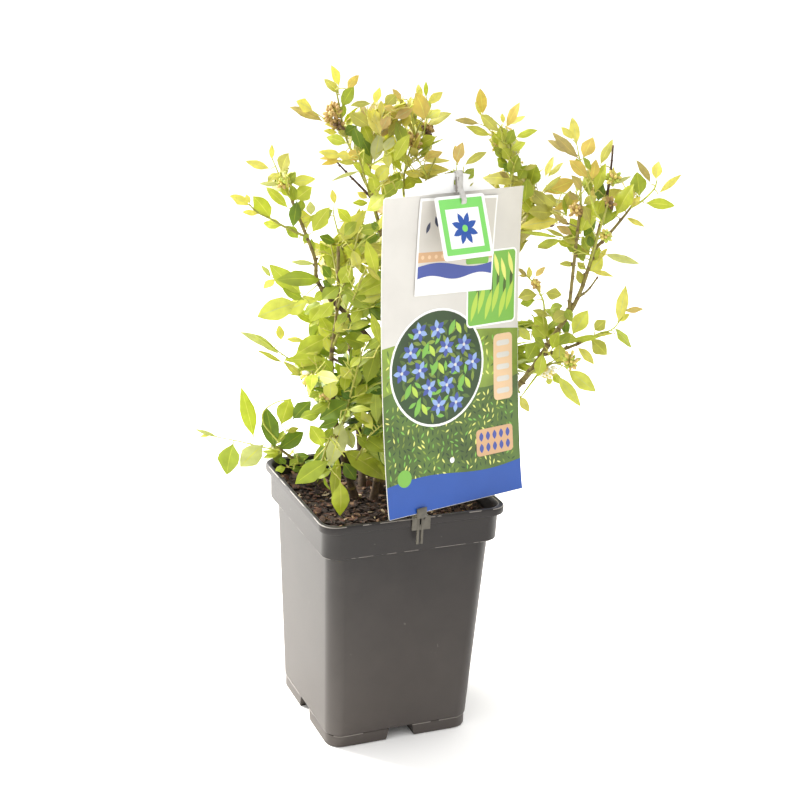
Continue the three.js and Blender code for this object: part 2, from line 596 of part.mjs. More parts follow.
function clipMesh() {
  const face = -LIP_WIDTH / 2 - GAP;
  const inner = -COLLAR_WIDTH / 2 + WALL + GAP;
  const top = POT_HEIGHT + GAP;
  const plate = box(
    new THREE.Vector3(CLIP_LEFT, face - CLIP_WALL, CLIP_PLATE_BOTTOM),
    new THREE.Vector3(CLIP_RIGHT, face, top + CLIP_WALL),
  );
  const bridge = box(
    new THREE.Vector3(CLIP_LEFT + CLIP_WALL, face - CLIP_WALL / 2, top),
    new THREE.Vector3(CLIP_RIGHT - CLIP_WALL, inner + CLIP_WALL, top + CLIP_WALL),
  );
  const tongue = box(
    new THREE.Vector3(CLIP_LEFT + CLIP_WALL, inner, CLIP_PLATE_BOTTOM),
    new THREE.Vector3(CLIP_RIGHT - CLIP_WALL, inner + CLIP_WALL, top + CLIP_WALL / 2),
  );
  const ribs = CLIP_RIB_PLACES.map((place) => box(
    new THREE.Vector3(place - CLIP_RIB_WIDTH / 2, face - CLIP_RIB_DEPTH, CLIP_RIB_BOTTOM),
    new THREE.Vector3(place + CLIP_RIB_WIDTH / 2, face, top + CLIP_WALL / 2),
  ));
  const jawFront = LABEL_THICKNESS / 2 - CLIP_JAW_DEPTH / 2;
  const jawTop = CLIP_JAW_HEIGHT - CLIP_JAW_DROP;
  const jaw = box(
    new THREE.Vector3(CLIP_JAW_PLACE - CLIP_JAW_WIDTH / 2, jawFront, -CLIP_JAW_DROP),
    new THREE.Vector3(CLIP_JAW_PLACE + CLIP_JAW_WIDTH / 2, jawFront + CLIP_JAW_DEPTH, jawTop),
  ).applyMatrix4(LABEL_TO_POT);
  const slit = box(
    new THREE.Vector3(0, -GAP, -GAP),
    new THREE.Vector3(LABEL_WIDTH, LABEL_THICKNESS + hollowAt(CLIP_JAW_HEIGHT) + GAP, LABEL_HEIGHT),
  ).applyMatrix4(LABEL_TO_POT);
  const body = joined([plate, bridge, tongue, ...ribs, jaw].map(solidOf));
  return mesh('label_clip', geometryOf(largestBody(body.subtract(solidOf(slit)))), COLOURS.clip, 0.45);
}

// ---- Limbs ----

// Rings round a path of { point, radius }, the first one level where `levelFoot` is set
function tubeRings(path, sides, levelFoot = false) {
  let normal = null;
  return path.map(({ point, radius }, index) => {
    const before = path[Math.max(index - 1, 0)].point;
    const after = path[Math.min(index + 1, path.length - 1)].point;
    const along = new THREE.Vector3().subVectors(after, before).normalize();
    if (levelFoot && index === 0) {
      along.copy(UP);
    }
    if (!normal) {
      normal = new THREE.Vector3(1, 0, 0);
      if (Math.abs(along.x) > 0.9) {
        normal.set(0, 1, 0);
      }
    }
    normal.addScaledVector(along, -normal.dot(along)).normalize();
    const across = new THREE.Vector3().crossVectors(along, normal);
    const ring = [];
    for (let side = 0; side < sides; side++) {
      const angle = 2 * Math.PI * side / sides;
      ring.push(point.clone()
        .addScaledVector(normal, radius * Math.cos(angle))
        .addScaledVector(across, radius * Math.sin(angle)));
    }
    return ring;
  });
}

function taperedPath(curve, steps, radii, flare) {
  const path = [];
  for (let step = 0; step <= steps; step++) {
    const share = step / steps;
    const point = curve.getPoint(share);
    const fromFoot = point.distanceTo(curve.getPoint(0));
    const swell = 1 + flare * Math.exp(-fromFoot / ROOT_FLARE_LENGTH);
    path.push({ point, radius: (radii[0] + (radii[1] - radii[0]) * share) * swell });
  }
  return path;
}

function limbOf(name, curve, path, radii, sides, levelFoot) {
  const geometry = ringGeometry(tubeRings(path, sides, levelFoot));
  return { name, curve, path, radii, geometry, solid: solidOf(geometry), levelFoot };
}

function growCane({ name, foot, way, radii }) {
  const start = new THREE.Vector3(foot[0], foot[1], SEAT_HEIGHT);
  const points = [start, ...way.map((place) => new THREE.Vector3(...place))];
  const curve = new THREE.CatmullRomCurve3(points, false, 'catmullrom', 0.5);
  const path = taperedPath(curve, (points.length - 1) * RINGS_PER_SPAN, radii, ROOT_FLARE);
  const collar = start.clone().addScaledVector(UP, ROOT_FLARE_LENGTH).lerp(path[1].point, 0.15);
  path.splice(1, 0, { point: collar, radius: radii[0] * 1.1 });
  return limbOf(name, curve, path, radii, CANE_SIDES, true);
}

// Where something may grow from a limb: the point on its straight stretches nearest to a share of
// its curve, with the direction there
function graftOf(limb, share) {
  const target = limb.curve.getPoint(share);
  const stretch = new THREE.Line3();
  const point = new THREE.Vector3();
  const graft = { distance: Infinity };
  for (let index = 1; index < limb.path.length; index++) {
    stretch.set(limb.path[index - 1].point, limb.path[index].point);
    stretch.closestPointToPoint(target, true, point);
    if (point.distanceTo(target) < graft.distance) {
      graft.distance = point.distanceTo(target);
      graft.point = point.clone();
      graft.along = stretch.delta(new THREE.Vector3()).normalize();
    }
  }
  return graft;
}

// A curve that leaves a limb just clear of its skin, or runs on from its tip, and ends at `tip`
function graftedCurve(limb, share, tip, arch, solidAlong) {
  const graft = graftOf(limb, share);
  const end = new THREE.Vector3(...tip);
  if (share === 1) {
    const start = graft.point.clone().addScaledVector(graft.along, GRAFT_GAP);
    const middle = start.clone().addScaledVector(graft.along, 0.4 * start.distanceTo(end));
    return new THREE.QuadraticBezierCurve3(start, middle, end);
  }
  const middle = graft.point.clone().lerp(end, 0.5).addScaledVector(UP, arch);
  const heading = middle.clone().sub(graft.point).normalize();
  const curve = new THREE.QuadraticBezierCurve3(graft.point, middle, end);
  while (cuts(solidAlong(curve), limb.solid)) {
    curve.v0.addScaledVector(heading, SEAT_STEP);
  }
  curve.v0.addScaledVector(heading, GAP);
  return curve;
}

function growBough({ name, on, at, tip, arch, radii }, limbs) {
  const limb = limbs.find((candidate) => candidate.name === on);
  const boughAlong = (curve) => (
    limbOf(name, curve, taperedPath(curve, BOUGH_STEPS, radii, 0), radii, BOUGH_SIDES, false)
  );
  return boughAlong(graftedCurve(limb, at, tip, arch, (curve) => boughAlong(curve).solid));
}

function limbMesh(limb) {
  return mesh(limb.name, limb.geometry, limb.levelFoot ? COLOURS.cane : COLOURS.bough, 0.8);
}

// ---- The growing rule ----

// A random stream that always gives the same draws for the same seed
function randomStream(seed) {
  let state = seed;
  return () => {
    state = (state * 48271) % 2147483647;
    return state / 2147483647;
  };
}

function distanceToPath(place, path) {
  let nearest = Infinity;
  const span = new THREE.Vector3();
  const offset = new THREE.Vector3();
  for (let index = 0; index + 1 < path.length; index++) {
    span.subVectors(path[index + 1].point, path[index].point);
    offset.subVectors(place, path[index].point);
    const share = THREE.MathUtils.clamp(offset.dot(span) / span.lengthSq(), 0, 1);
    nearest = Math.min(nearest, offset.addScaledVector(span, -share).length());
  }
  return nearest;
}

// True where a limb's skin is nearer to a place than the margin
function touchesLimb(place, limbs, margin) {
  return limbs.some((limb) => (
    distanceToPath(place, limb.path) < limb.radii[0] + margin
    && limb.path.some((knot, index) => index > 0 && distanceToPath(place, [limb.path[index - 1], knot])
      < Math.max(knot.radius, limb.path[index - 1].radius) + margin)
  ));
}

function insidePotOrLabel(place) {
  const out = Math.max(Math.abs(place.x), Math.abs(place.y));
  const overRim = out > COLLAR_WIDTH / 2 - 2 * RIM_MARGIN && out < LIP_WIDTH / 2 + RIM_MARGIN;
  if (overRim && place.z < POT_HEIGHT + RIM_MARGIN) {
    return true;
  }
  if (out < LIP_WIDTH / 2 && place.z < SOIL_TOP + SOIL_MARGIN) {
    return true;
  }
  const onLabel = place.clone().applyMatrix4(POT_TO_LABEL);
  return onLabel.x > -LABEL_SIDE_MARGIN && onLabel.x < LABEL_WIDTH + LABEL_SIDE_MARGIN
    && onLabel.z < LABEL_HEIGHT + TAB_RISE + LABEL_SIDE_MARGIN
    && onLabel.y < hollowAt(onLabel.z) + LABEL_BACK_MARGIN;
}

// True where a place belongs to a spray: nearer to its stem than to any other, and free of the rest
function isOwn(place, spray, plant, limbMargin) {
  const own = distanceToPath(place, spray.path);
  const taken = plant.sprays.some((other) => (
    other !== spray && distanceToPath(place, other.path) < own + SPACE_MARGIN
  ));
  return !taken && !insidePotOrLabel(place) && !touchesLimb(place, plant.limbs, limbMargin);
}

function startSpray(seedling, index, limbs) {
  const limb = limbs.find((candidate) => candidate.name === seedling.on);
  const arch = seedling.lift > 0 ? 0 : 8;
  const stemPath = (curve) => taperedPath(curve, STEM_STEPS, STEM_RADII, 0);
  const stemAlong = (curve) => solidOf(ringGeometry(tubeRings(stemPath(curve), TWIG_SIDES)));
  const curve = graftedCurve(limb, seedling.at, seedling.tip, arch, stemAlong);
  return { ...seedling, curve, path: stemPath(curve), seed: 1000 + 77 * index };
}

function sidewaysTo(along) {
  const other = Math.abs(along.z) < 0.9 ? UP : new THREE.Vector3(1, 0, 0);
  return new THREE.Vector3().crossVectors(along, other).normalize();
}

// A side shoot that leaves the stem at a share of its length and bends by the spray's lift
function shootPath(spray, share, azimuth, length, plant) {
  const along = spray.curve.getTangent(share);
  const side = sidewaysTo(along).applyAxisAngle(along, azimuth);
  const angle = THREE.MathUtils.lerp(SHOOT_ANGLES[0], SHOOT_ANGLES[1], share);
  const heading = along.multiplyScalar(Math.cos(angle)).addScaledVector(side, Math.sin(angle));
  const steps = Math.max(2, Math.round(length / SHOOT_STEP_LENGTH));
  const path = [{ point: spray.curve.getPoint(share), radius: SHOOT_RADII[0] }];
  for (let step = 1; step <= steps; step++) {
    heading.addScaledVector(UP, SHOOT_LIFT * spray.lift).normalize();
    const point = path[step - 1].point.clone().addScaledVector(heading, length / steps);
    const half = path[step - 1].point.clone().lerp(point, 0.5);
    if (!isOwn(point, spray, plant, TWIG_MARGIN) || !isOwn(half, spray, plant, 0)) {
      break;
    }
    path.push({ point, radius: SHOOT_RADII[0] + (SHOOT_RADII[1] - SHOOT_RADII[0]) * step / steps });
  }
  return path;
}

// A leaf's frame: its root on a twig, the way it points, and the way its upper face looks
function leafFrame(root, along, side, lean, roll, lift) {
  const heading = along.clone().multiplyScalar(Math.cos(lean)).addScaledVector(side, Math.sin(lean));
  heading.addScaledVector(UP, 0.18 * lift).normalize();
  const normal = UP.clone().addScaledVector(heading, -heading.z);
  if (normal.length() < 0.35) {
    normal.copy(along).addScaledVector(side, -0.6).addScaledVector(heading, -along.dot(heading));
  }
  normal.addScaledVector(heading, -normal.dot(heading)).normalize().applyAxisAngle(heading, roll);
  const across = new THREE.Vector3().crossVectors(heading, normal);
  return { root: root.clone().addScaledVector(heading, -LEAF_ROOT_SINK), heading, normal, across };
}

function leafPlace(frame, x, y, z) {
  return frame.root.clone()
    .addScaledVector(frame.across, x)
    .addScaledVector(frame.heading, y)
    .addScaledVector(frame.normal, z);
}

// Places on a leaf's outline and midrib that have to lie in the spray's own space
function leafProbes(frame, length, halfWidth) {
  const probes = [];
  for (let y = 0.16; y <= 1; y += 0.12) {
    const spread = y < LEAF_WIDEST_SHARE ? y / LEAF_WIDEST_SHARE : (1 - y) / (1 - LEAF_WIDEST_SHARE);
    [-1, -0.5, 0, 0.5, 1].forEach((x) => {
      probes.push(leafPlace(frame, x * spread * halfWidth, y * length, 0));
    });
  }
  return probes;
}

// A pointed blade, flat above and keeled below, with its root point sunk through the twig
function leafSolid(frame, length, halfWidth) {
  const widest = LEAF_WIDEST_SHARE * length;
  const corners = [
    leafPlace(frame, 0, 0, 0),
    leafPlace(frame, halfWidth, widest, 0),
    leafPlace(frame, -halfWidth, widest, 0),
    leafPlace(frame, 0, length, 0),
    leafPlace(frame, 0, LEAF_KEEL_PLACE, -LEAF_KEEL_DEPTH),
  ];
  const faces = [0, 1, 2, 2, 1, 3, 0, 4, 1, 4, 3, 1, 4, 2, 3, 0, 2, 4];
  return new wasm.Manifold(new wasm.Mesh({
    numProp: 3,
    vertProperties: Float32Array.from(corners.flatMap((corner) => corner.toArray())),
    triVerts: Uint32Array.from(faces),
  }));
}

// Leaves spiral up a twig and end in a rosette; one that would leave the space is turned or skipped
function addLeaves(leaves, path, firstShare, leafLength, spray, plant, random) {
  const knots = path.map((knot) => knot.point);
  const twig = new THREE.CatmullRomCurve3(knots, false, 'catmullrom', 0.5);
  const twigLength = twig.getLength();
  const places = [];
  const rosette = (ROSETTE_LEAVES - 1) * ROSETTE_SPACING;
  const lastRun = twigLength - rosette - LEAF_SPACING / 2;
  for (let run = firstShare * twigLength; run < lastRun; run += LEAF_SPACING) {
    places.push({ share: run / twigLength, lean: 1.05 - 0.2 * run / twigLength });
  }
  for (let leaf = ROSETTE_LEAVES - 1; leaf >= 0; leaf--) {
    places.push({ share: 1 - leaf * ROSETTE_SPACING / twigLength, lean: leaf === 0 ? 0.12 : 0.75 });
  }
  let azimuth = 2 * Math.PI * random();
  places.forEach(({ share, lean }) => {
    azimuth += GOLDEN_ANGLE;
    const along = twig.getTangent(share);
    const root = twig.getPoint(share);
    const side = sidewaysTo(along);
    const size = leafLength * (0.82 + 0.18 * random()) * (1 - 0.18 * share);
    const roll = LEAF_ROLL * (random() - 0.5);
    for (let attempt = 0; attempt < LEAF_TRIES; attempt++) {
      const length = size * (1 - 0.07 * attempt);
      const halfWidth = LEAF_WIDTH_SHARE * length / 2;
      const turned = side.clone().applyAxisAngle(along, azimuth + 1.1 * attempt);
      const frame = leafFrame(root, along, turned, lean, roll, spray.lift);
      const probes = leafProbes(frame, length, halfWidth);
      const free = probes.every((probe) => isOwn(probe, spray, plant, LIMB_MARGIN));
      const leaf = leafSolid(frame, length, halfWidth);
      if (free && !leaves.some((other) => cuts(leaf, other))) {
        leaves.push(leaf);
        break;
      }
    }
  });
}

// Small bells that hang from the middle of the stem
function addBlossom(solids, spray, plant) {
  for (let bell = 0; bell < spray.blossom; bell++) {
    const share = 0.4 + 0.12 * bell;
    const root = spray.curve.getPoint(share);
    const cup = new THREE.SphereGeometry(BLOSSOM_RADIUS, 4, 2);
    cup.scale(1, BLOSSOM_LENGTH / 2 / BLOSSOM_RADIUS, 1);
    cup.rotateX(Math.PI / 2);
    cup.rotateY(0.7 * (bell - 1));
    cup.translate(root.x + 2 * (bell - 1), root.y, root.z - BLOSSOM_LENGTH / 2);
    const low = root.clone().addScaledVector(UP, -BLOSSOM_LENGTH);
    if (isOwn(low, spray, plant, LIMB_MARGIN)) {
      solids.push(solidOf(cup));
    }
  }
}

function growSpray(spray, plant) {
  const random = randomStream(spray.seed);
  const solids = [solidOf(ringGeometry(tubeRings(spray.path, TWIG_SIDES)))];
  const shoots = [];
  for (let shoot = 0; shoot < spray.shoots; shoot++) {
    const share = 0.08 + 0.76 * (shoot + 0.4) / spray.shoots;
    const azimuth = shoot * GOLDEN_ANGLE + 1.2 * random();
    const length = spray.reach * (0.8 + 0.35 * random()) * (1 - 0.35 * share);
    const path = shootPath(spray, share, azimuth, length, plant);
    if (path.length > 1) {
      shoots.push(path);
    }
  }
  const leaves = [];
  addLeaves(leaves, spray.path, 0.24, spray.leaf, spray, plant, random);
  shoots.forEach((path) => {
    solids.push(solidOf(ringGeometry(tubeRings(path, TWIG_SIDES))));
    addLeaves(leaves, path, 0.4, 0.95 * spray.leaf, spray, plant, random);
  });
  solids.push(...leaves);
  if (spray.blossom) {
    addBlossom(solids, spray, plant);
  }
  return mesh(spray.name, geometryOf(largestBody(joined(solids))), COLOURS.spray, 0.6);
}

// ---- The whole plant ----

const limbs = CANES.map(growCane);
BOUGHS.forEach((bough) => limbs.push(growBough(bough, limbs)));
const plant = { limbs, sprays: SPRAYS.map((seedling, index) => startSpray(seedling, index, limbs)) };

const bush = new THREE.Group();
bush.add(potMesh(), soilMesh(), clipMesh(), labelGroup());
limbs.forEach((limb) => bush.add(limbMesh(limb)));
plant.sprays.forEach((spray) => bush.add(growSpray(spray, plant)));

export default bush;
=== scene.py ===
"""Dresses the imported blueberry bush: its pot and soil, its label, its bark, twigs, leaves and buds.

Shapes are worked out in millimetres in the model's own frame and become Blender meshes in metres.
"""

import math

import bmesh
import bpy
import numpy as np
from mathutils import Matrix, Vector, noise


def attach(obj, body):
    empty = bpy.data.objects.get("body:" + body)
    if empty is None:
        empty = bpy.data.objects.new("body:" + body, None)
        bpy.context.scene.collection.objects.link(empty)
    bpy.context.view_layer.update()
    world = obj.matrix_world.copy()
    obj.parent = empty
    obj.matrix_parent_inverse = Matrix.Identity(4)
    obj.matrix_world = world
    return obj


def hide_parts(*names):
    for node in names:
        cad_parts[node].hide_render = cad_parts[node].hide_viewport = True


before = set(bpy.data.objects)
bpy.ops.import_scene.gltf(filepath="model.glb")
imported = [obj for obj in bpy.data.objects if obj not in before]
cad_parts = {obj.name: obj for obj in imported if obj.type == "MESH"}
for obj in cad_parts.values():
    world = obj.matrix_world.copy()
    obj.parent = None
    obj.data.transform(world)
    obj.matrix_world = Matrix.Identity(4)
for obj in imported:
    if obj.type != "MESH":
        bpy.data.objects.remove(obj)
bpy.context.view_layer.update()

MM = 0.001
UP = np.array([0.0, 0.0, 1.0])
GOLDEN_ANGLE = math.radians(137.5)

# Camera: place, heading and lens as the photograph was taken
CAMERA_PLACE = (-453.2, -1090.4, 669.0)
CAMERA_YAW = -23.124
CAMERA_PITCH = 18.785
CAMERA_ROLL = 2.560
CAMERA_LENS = 71.7
CAMERA_SENSOR = 36.0
PICTURE_WIDTH = 800

# Pot and soil
POT_HEIGHT = 197.7
WALL = 1.3
LIP_WIDTH = 152.0
LIP_HEIGHT = 6.4
COLLAR_WIDTH = 144.6
COLLAR_TOP_WIDTH = 145.4
COLLAR_BOTTOM = 168.8
BODY_TOP_WIDTH = 135.0
BODY_FOOT_WIDTH = 121.4
FOOT_WIDTH = 120.2
FOOT_HEIGHT = 10.0
CORNER_RADIUS = 12.7
CORNER_STEPS = 10
NOTCH_FOOT_WIDTH = 25.5
NOTCH_ROOF_WIDTH = 20.5
NOTCH_HEIGHT = 10.0
CHANNEL_INNER_END = 22.0
DRAIN_HOLE_RADIUS = 4.5
DRAIN_HOLE_PLACE = 40.0
SOIL_TOP = 185.5
SOIL_HALF_WIDTH = 70.0
SOIL_CELLS = 56
SOIL_FLOOR = 13.0
SOIL_EDGE = 0.8
SOIL_EDGE_DIP = 3.0
CHIPS = 1500
CHIP_EDGE_GAP = 3.5
CHIP_OVERHANG = 1.5
FIBRES = 70
FIBRE_EDGE_GAP = 8
FIBRE_STEP = 3.0
FIBRE_RADII = (0.2, 0.28, 0.3, 0.25, 0.15)
CUT_MARGIN = 2

# The pot's profile, up its outside and down its inside: width and height
LIP_BOTTOM = POT_HEIGHT - LIP_HEIGHT
POT_PROFILE = [
    (FOOT_WIDTH - 1.6, 0), (FOOT_WIDTH - 0.4, 0.4), (FOOT_WIDTH, 1.2), (FOOT_WIDTH, FOOT_HEIGHT - 0.6),
    (FOOT_WIDTH - 1.2, FOOT_HEIGHT), (FOOT_WIDTH - 1.2, FOOT_HEIGHT + 0.5),
    (BODY_FOOT_WIDTH - 0.4, FOOT_HEIGHT + 0.7), (BODY_FOOT_WIDTH, FOOT_HEIGHT + 1.1),
    (BODY_TOP_WIDTH, COLLAR_BOTTOM - 1.2),
    (BODY_TOP_WIDTH + 0.6, COLLAR_BOTTOM - 0.5), (COLLAR_WIDTH - 1.6, COLLAR_BOTTOM),
    (COLLAR_WIDTH - 0.4, COLLAR_BOTTOM + 0.5), (COLLAR_WIDTH, COLLAR_BOTTOM + 1.4),
    (COLLAR_TOP_WIDTH - 0.1, LIP_BOTTOM - 1.0), (COLLAR_TOP_WIDTH + 0.6, LIP_BOTTOM - 0.2),
    (LIP_WIDTH - 1.6, LIP_BOTTOM), (LIP_WIDTH - 0.4, LIP_BOTTOM + 0.4),
    (LIP_WIDTH, LIP_BOTTOM + 1.2), (LIP_WIDTH, POT_HEIGHT - 1.6), (LIP_WIDTH - 0.5, POT_HEIGHT - 0.6),
    (LIP_WIDTH - 1.6, POT_HEIGHT), (LIP_WIDTH - 5.4, POT_HEIGHT), (LIP_WIDTH - 7.0, POT_HEIGHT - 0.6),
    (LIP_WIDTH - 8.2, POT_HEIGHT - 2.0), (COLLAR_TOP_WIDTH - 3.2, POT_HEIGHT - 5.0),
    (COLLAR_WIDTH - 2.6, COLLAR_BOTTOM + 3), (BODY_TOP_WIDTH - 2.6, COLLAR_BOTTOM + 1.3),
    (BODY_FOOT_WIDTH - 3.8, WALL),
]

# The sides of the soil below its top: width and height, just inside the pot's walls
SOIL_SIDES = [
    (COLLAR_WIDTH - 3.4, COLLAR_BOTTOM + 4),
    (BODY_TOP_WIDTH - 3.4, COLLAR_BOTTOM - 1),
    (BODY_FOOT_WIDTH - 5, SOIL_FLOOR),
]

# Mounds and crumbs of the soil: height, grain and slice of the noise
SOIL_WAVES = [(2.4, 0.035, 3.1), (1.3, 0.16, 7.7)]

# Shades of the chips, each as often as it occurs, and a chip's rings from its foot up: level and width
CHIP_SHADES = [0] * 9 + [1] * 7 + [2] * 4 + [3] * 2 + [4]
CHIP_RINGS = [(-0.5, 0.8), (-0.15, 1.0), (0.35, 0.96), (0.5, 0.72)]

# Chips: shape and scale of the spread of lengths, the least length, and least and greatest values of
# width as a share of the length, of thickness, and of how high a chip lies; then its tilt and its curve
CHIP_LENGTHS = (4.0, 1.1)
CHIP_SHORTEST = 1.6
CHIP_WIDTHS = (0.3, 0.75)
CHIP_THICKNESSES = (0.5, 1.8)
CHIP_LEVELS = (-0.2, 1.5)
CHIP_TILT = 0.42
CHIP_CURVE = 0.14

# Heights in metres between which the pot's plastic is painted lighter toward the foot, a painted glow of
# light bounced up from the floor, and how far that edge wanders
PAINTED_BOUNCE_TOP = 0.2
PAINTED_BOUNCE_FOOT = 0.03
PAINTED_BOUNCE_WANDER = 0.05

# Edges of the pot painted pale, partly as wear and partly as painted highlight along the step and rims:
# height and half width of the line, and the wear's noise
WORN_AND_HIGHLIT_EDGES = [(FOOT_HEIGHT - 0.5, 0.35), (POT_HEIGHT - 0.5, 0.3), (COLLAR_BOTTOM + 0.6, 0.2)]
WEAR_GRAIN = 55.0
WEAR_DETAIL = 6.0
WEAR_LEVEL = 0.47
SCUFF_GRAIN = 210.0
SCUFF_DETAIL = 2.0
SCUFF_LEVEL = 0.755
SCUFF_STRENGTH = 0.25

# Label, in its own frame: right, back and up from the card's lower left corner
LABEL_CORNER = (-28.5, -86.1, 203.1)
LABEL_TURN = 15.2
LABEL_LEAN = 6.3
LABEL_ROLL = -0.8
LABEL_WIDTH = 132.2
LABEL_HEIGHT = 238.3
LABEL_THICKNESS = 0.5
LABEL_HOLLOW = 6.3
LABEL_HOLLOW_POWER = 0.7
LABEL_CHAMFER = 0.6
TAB_LEFT = 19.0
TAB_RIGHT = 104.0
TAB_RISE = 14.3
TAB_STEPS = 16
SLOT_PLACE = 68.0
SLOT_BOTTOM = 243.5
SLOT_WIDTH = 8.4
SLOT_OPENING = 4.2
BOOKLET_WIDTH = 73.8
BOOKLET_HEIGHT = 71.7
BOOKLET_THICKNESS = 0.8
BOOKLET_FRONT = -1.5
BOOKLET_LEFT = 29.6
BOOKLET_BOTTOM = 164.6
BOOKLET_TILT = -2.2
BOOKLET_PRINT_EDGE = 1.4
TAG_SIZE = 46.6
TAG_THICKNESS = 0.8
TAG_TOP = (64.0, -5.2, 236.5)
TAG_SWING = 14.8
TAG_SLOT_DROP = 5.0
TAG_FLOWER = (0, -24.4)
PRINT_STEP = 0.06
PRINT_THICKNESS = 0.1
PRINT_EDGE = 0.35
BEND_ROW = 6.0
ROUND_STEPS = 5
STRAP_STEPS = 40
STRAP_SWAY = 0.12
STRAP_HALF_WIDTHS = (3.4, 2.2)
STRAP_THICKNESS = 0.22
STRAP_END_PLACE = -1.2
TAIL_HALF_WIDTHS = (1.3, 0.4)
TAIL_THICKNESS = 0.2
TAIL_ROLL = 0.9
CLIP_BEVEL = 0.22

# The strap over the card's top: across from the slot, back, and up from the tab's top. Its end in the
# tag's slot: back and up from the slot's middle
STRAP_PATH = [(0, 4.6, -6), (0, 3.0, -1.5), (0, 0.6, 1.4), (-0.2, -1.6, -0.8),
              (-0.5, -2.6, -5.5), (-0.9, -3.4, -11)]
STRAP_END = [(-2.0, 4.2), (-0.4, 0.2), (1.8, -2.6)]
STRAP_TAIL = [(-2.4, -1.7, -3.0), (-3.4, -2.2, -7.5), (-4.3, -2.9, -12.5), (-4.4, -3.3, -14)]

# The strap's section: across in half widths, and off its middle in thicknesses
STRAP_SECTION = [(-1, 1), (-0.4, 1.5), (0.4, 1.2), (1, 1), (1, -1), (0.4, -0.8), (-0.4, -0.5), (-1, -1)]

# Waved grounds of the card, by ink, layer, height, swell and turns, and the petals strewn over each,
# by inks, layer, box as left, bottom, width and height, spacing, length, width and seed
GROUNDS = [
    ("meadow", 1, 128.0, 5.0, 0.5,
     [(["fresh", "olive", "yellow", "lime"], 1.3, (3.0, 94.0, 128.0, 34.0), 5.6, 5.6, 1.6, 11)]),
    ("olive", 2, 92.0, 6.0, 1.0,
     [(["meadow", "forest", "fresh", "forest", "yellow"], 2.3, (2.0, 24.0, 128.0, 64.0),
       4.6, 4.8, 1.4, 12)]),
    ("blue", 3.4, 24.0, 2.6, 1.0, []),
]

# The card's medallion: its middle, its rim and field, its strewn leaves and its flowers
MEDALLION = (52.0, 108.0)
MEDALLION_RADIUS = 45.0
MEDALLION_FIELD = 43.2
MEDALLION_STEPS = 48
MEDALLION_SEED = 13
STREWN_REACH = 38.5
STREWN_SPACING = (6.6, 6.4)
STREWN_INKS = ["olive", "fresh", "meadow", "olive"]
FLOWER_REACH = 35.5
FLOWER_SPACING = (17.0, 14.5)

# Rows of petals on the card's panel: ink, layer, first place, spacing, stagger, length, width, angle
PANEL_ROWS = [
    ("olive", 5.5, (91.0, 163.0), 6.6, 6.0, 22.0, 3.0, 88),
    ("lime", 6, (87.5, 150.0), 7.0, 5.0, 24.0, 5.0, 74),
    ("yellow", 6, (88.0, 176.0), 7.0, 4.0, 19.0, 4.0, 106),
]
PANEL_PETALS = 6

# Studio: the floor in millimetres, the lights in metres and watts
FLOOR_REACH = 40000.0
BRIGHT_SIDE = (-0.2, 0.7, 0.7)
WORLD_DIM = 0.72
WORLD_BRIGHT = 1.55
WORLD_TURN = (-0.6, 0.3)
HORIZON_BAND = 0.12
FLOOR_HEIGHT = -0.3

# Lights: name, place, target, size, power and colour
LIGHTS = [
    ("key", (-1.0, 1.2, 1.6), (0, 0, 0.3), 0.7, 75.0, (1.0, 0.97, 0.9)),
    ("back", (-0.7, 1.1, 0.55), (-0.15, 0.2, 0.0), 0.9, 20.0, (1.0, 0.98, 0.95)),
]

# Canes: each stands on the soil at its foot and runs through its way to its tip
SEAT_HEIGHT = 186.3
ROOT_FLARE = 0.55
ROOT_FLARE_LENGTH = 7.0
CANES = [
    ("cane_left", (-8, -3), (2.4, 1.2),
     [(1, -4, 262), (-14, -9, 314), (-55, 2, 360), (-60, 6, 384), (-74, 19, 424)]),
    ("cane_left_centre", (-22, 3), (2.7, 1.1),
     [(-44, -9, 254), (-50, -11, 307), (-45, -7, 353), (-41, 11, 440)]),
    ("cane_centre", (1, 9), (2.6, 1.1),
     [(11, 8, 280), (9, 14, 344), (-14, 11, 432)]),
    ("cane_centre_top", (11, 18), (2.6, 1.1),
     [(35, 20, 275), (31, 24, 348), (17, 21, 424)]),
    ("cane_mid_right", (20, 9), (2.7, 1.2),
     [(66, 9, 275), (90, 5, 349), (96, -4, 431)]),
    ("cane_right", (10, -6), (3.2, 1.2),
     [(59, -17, 243), (101, -29, 280), (119, -48, 325), (132, -61, 364), (142, -70, 431)]),
    ("cane_low_left", (-38, 27), (1.9, 1.1),
     [(-48, 34, 199), (-73, 40, 219)]),
    ("cane_back_left", (-6, 26), (2.5, 1.1),
     [(1, 76, 270), (-5, 98, 346)]),
    ("cane_back_right", (20, 30), (2.5, 1.1),
     [(76, 54, 264), (112, 66, 339)]),
]

# Boughs: name, limb, share of its length, tip, arch and radii
BOUGHS = [
    ("bough_small_centre", "cane_centre_top", 0.5, (40, -33, 431), 6, (1.5, 0.9)),
    ("bough_right_fork", "cane_right", 0.7, (116, -78, 433), 4, (1.5, 1.0)),
    ("bough_far_right", "cane_right", 0.9, (166, -67, 428), -3, (1.4, 0.9)),
    ("bough_right_low", "cane_right", 0.52, (147, -54, 322), -3, (1.6, 1.0)),
    ("bough_low_front", "cane_left_centre", 0.14, (-50, -22, 250), 4, (1.4, 1.0)),
    ("bough_back_left", "cane_back_left", 0.5, (-19, 106, 279), -3, (1.4, 0.9)),
]

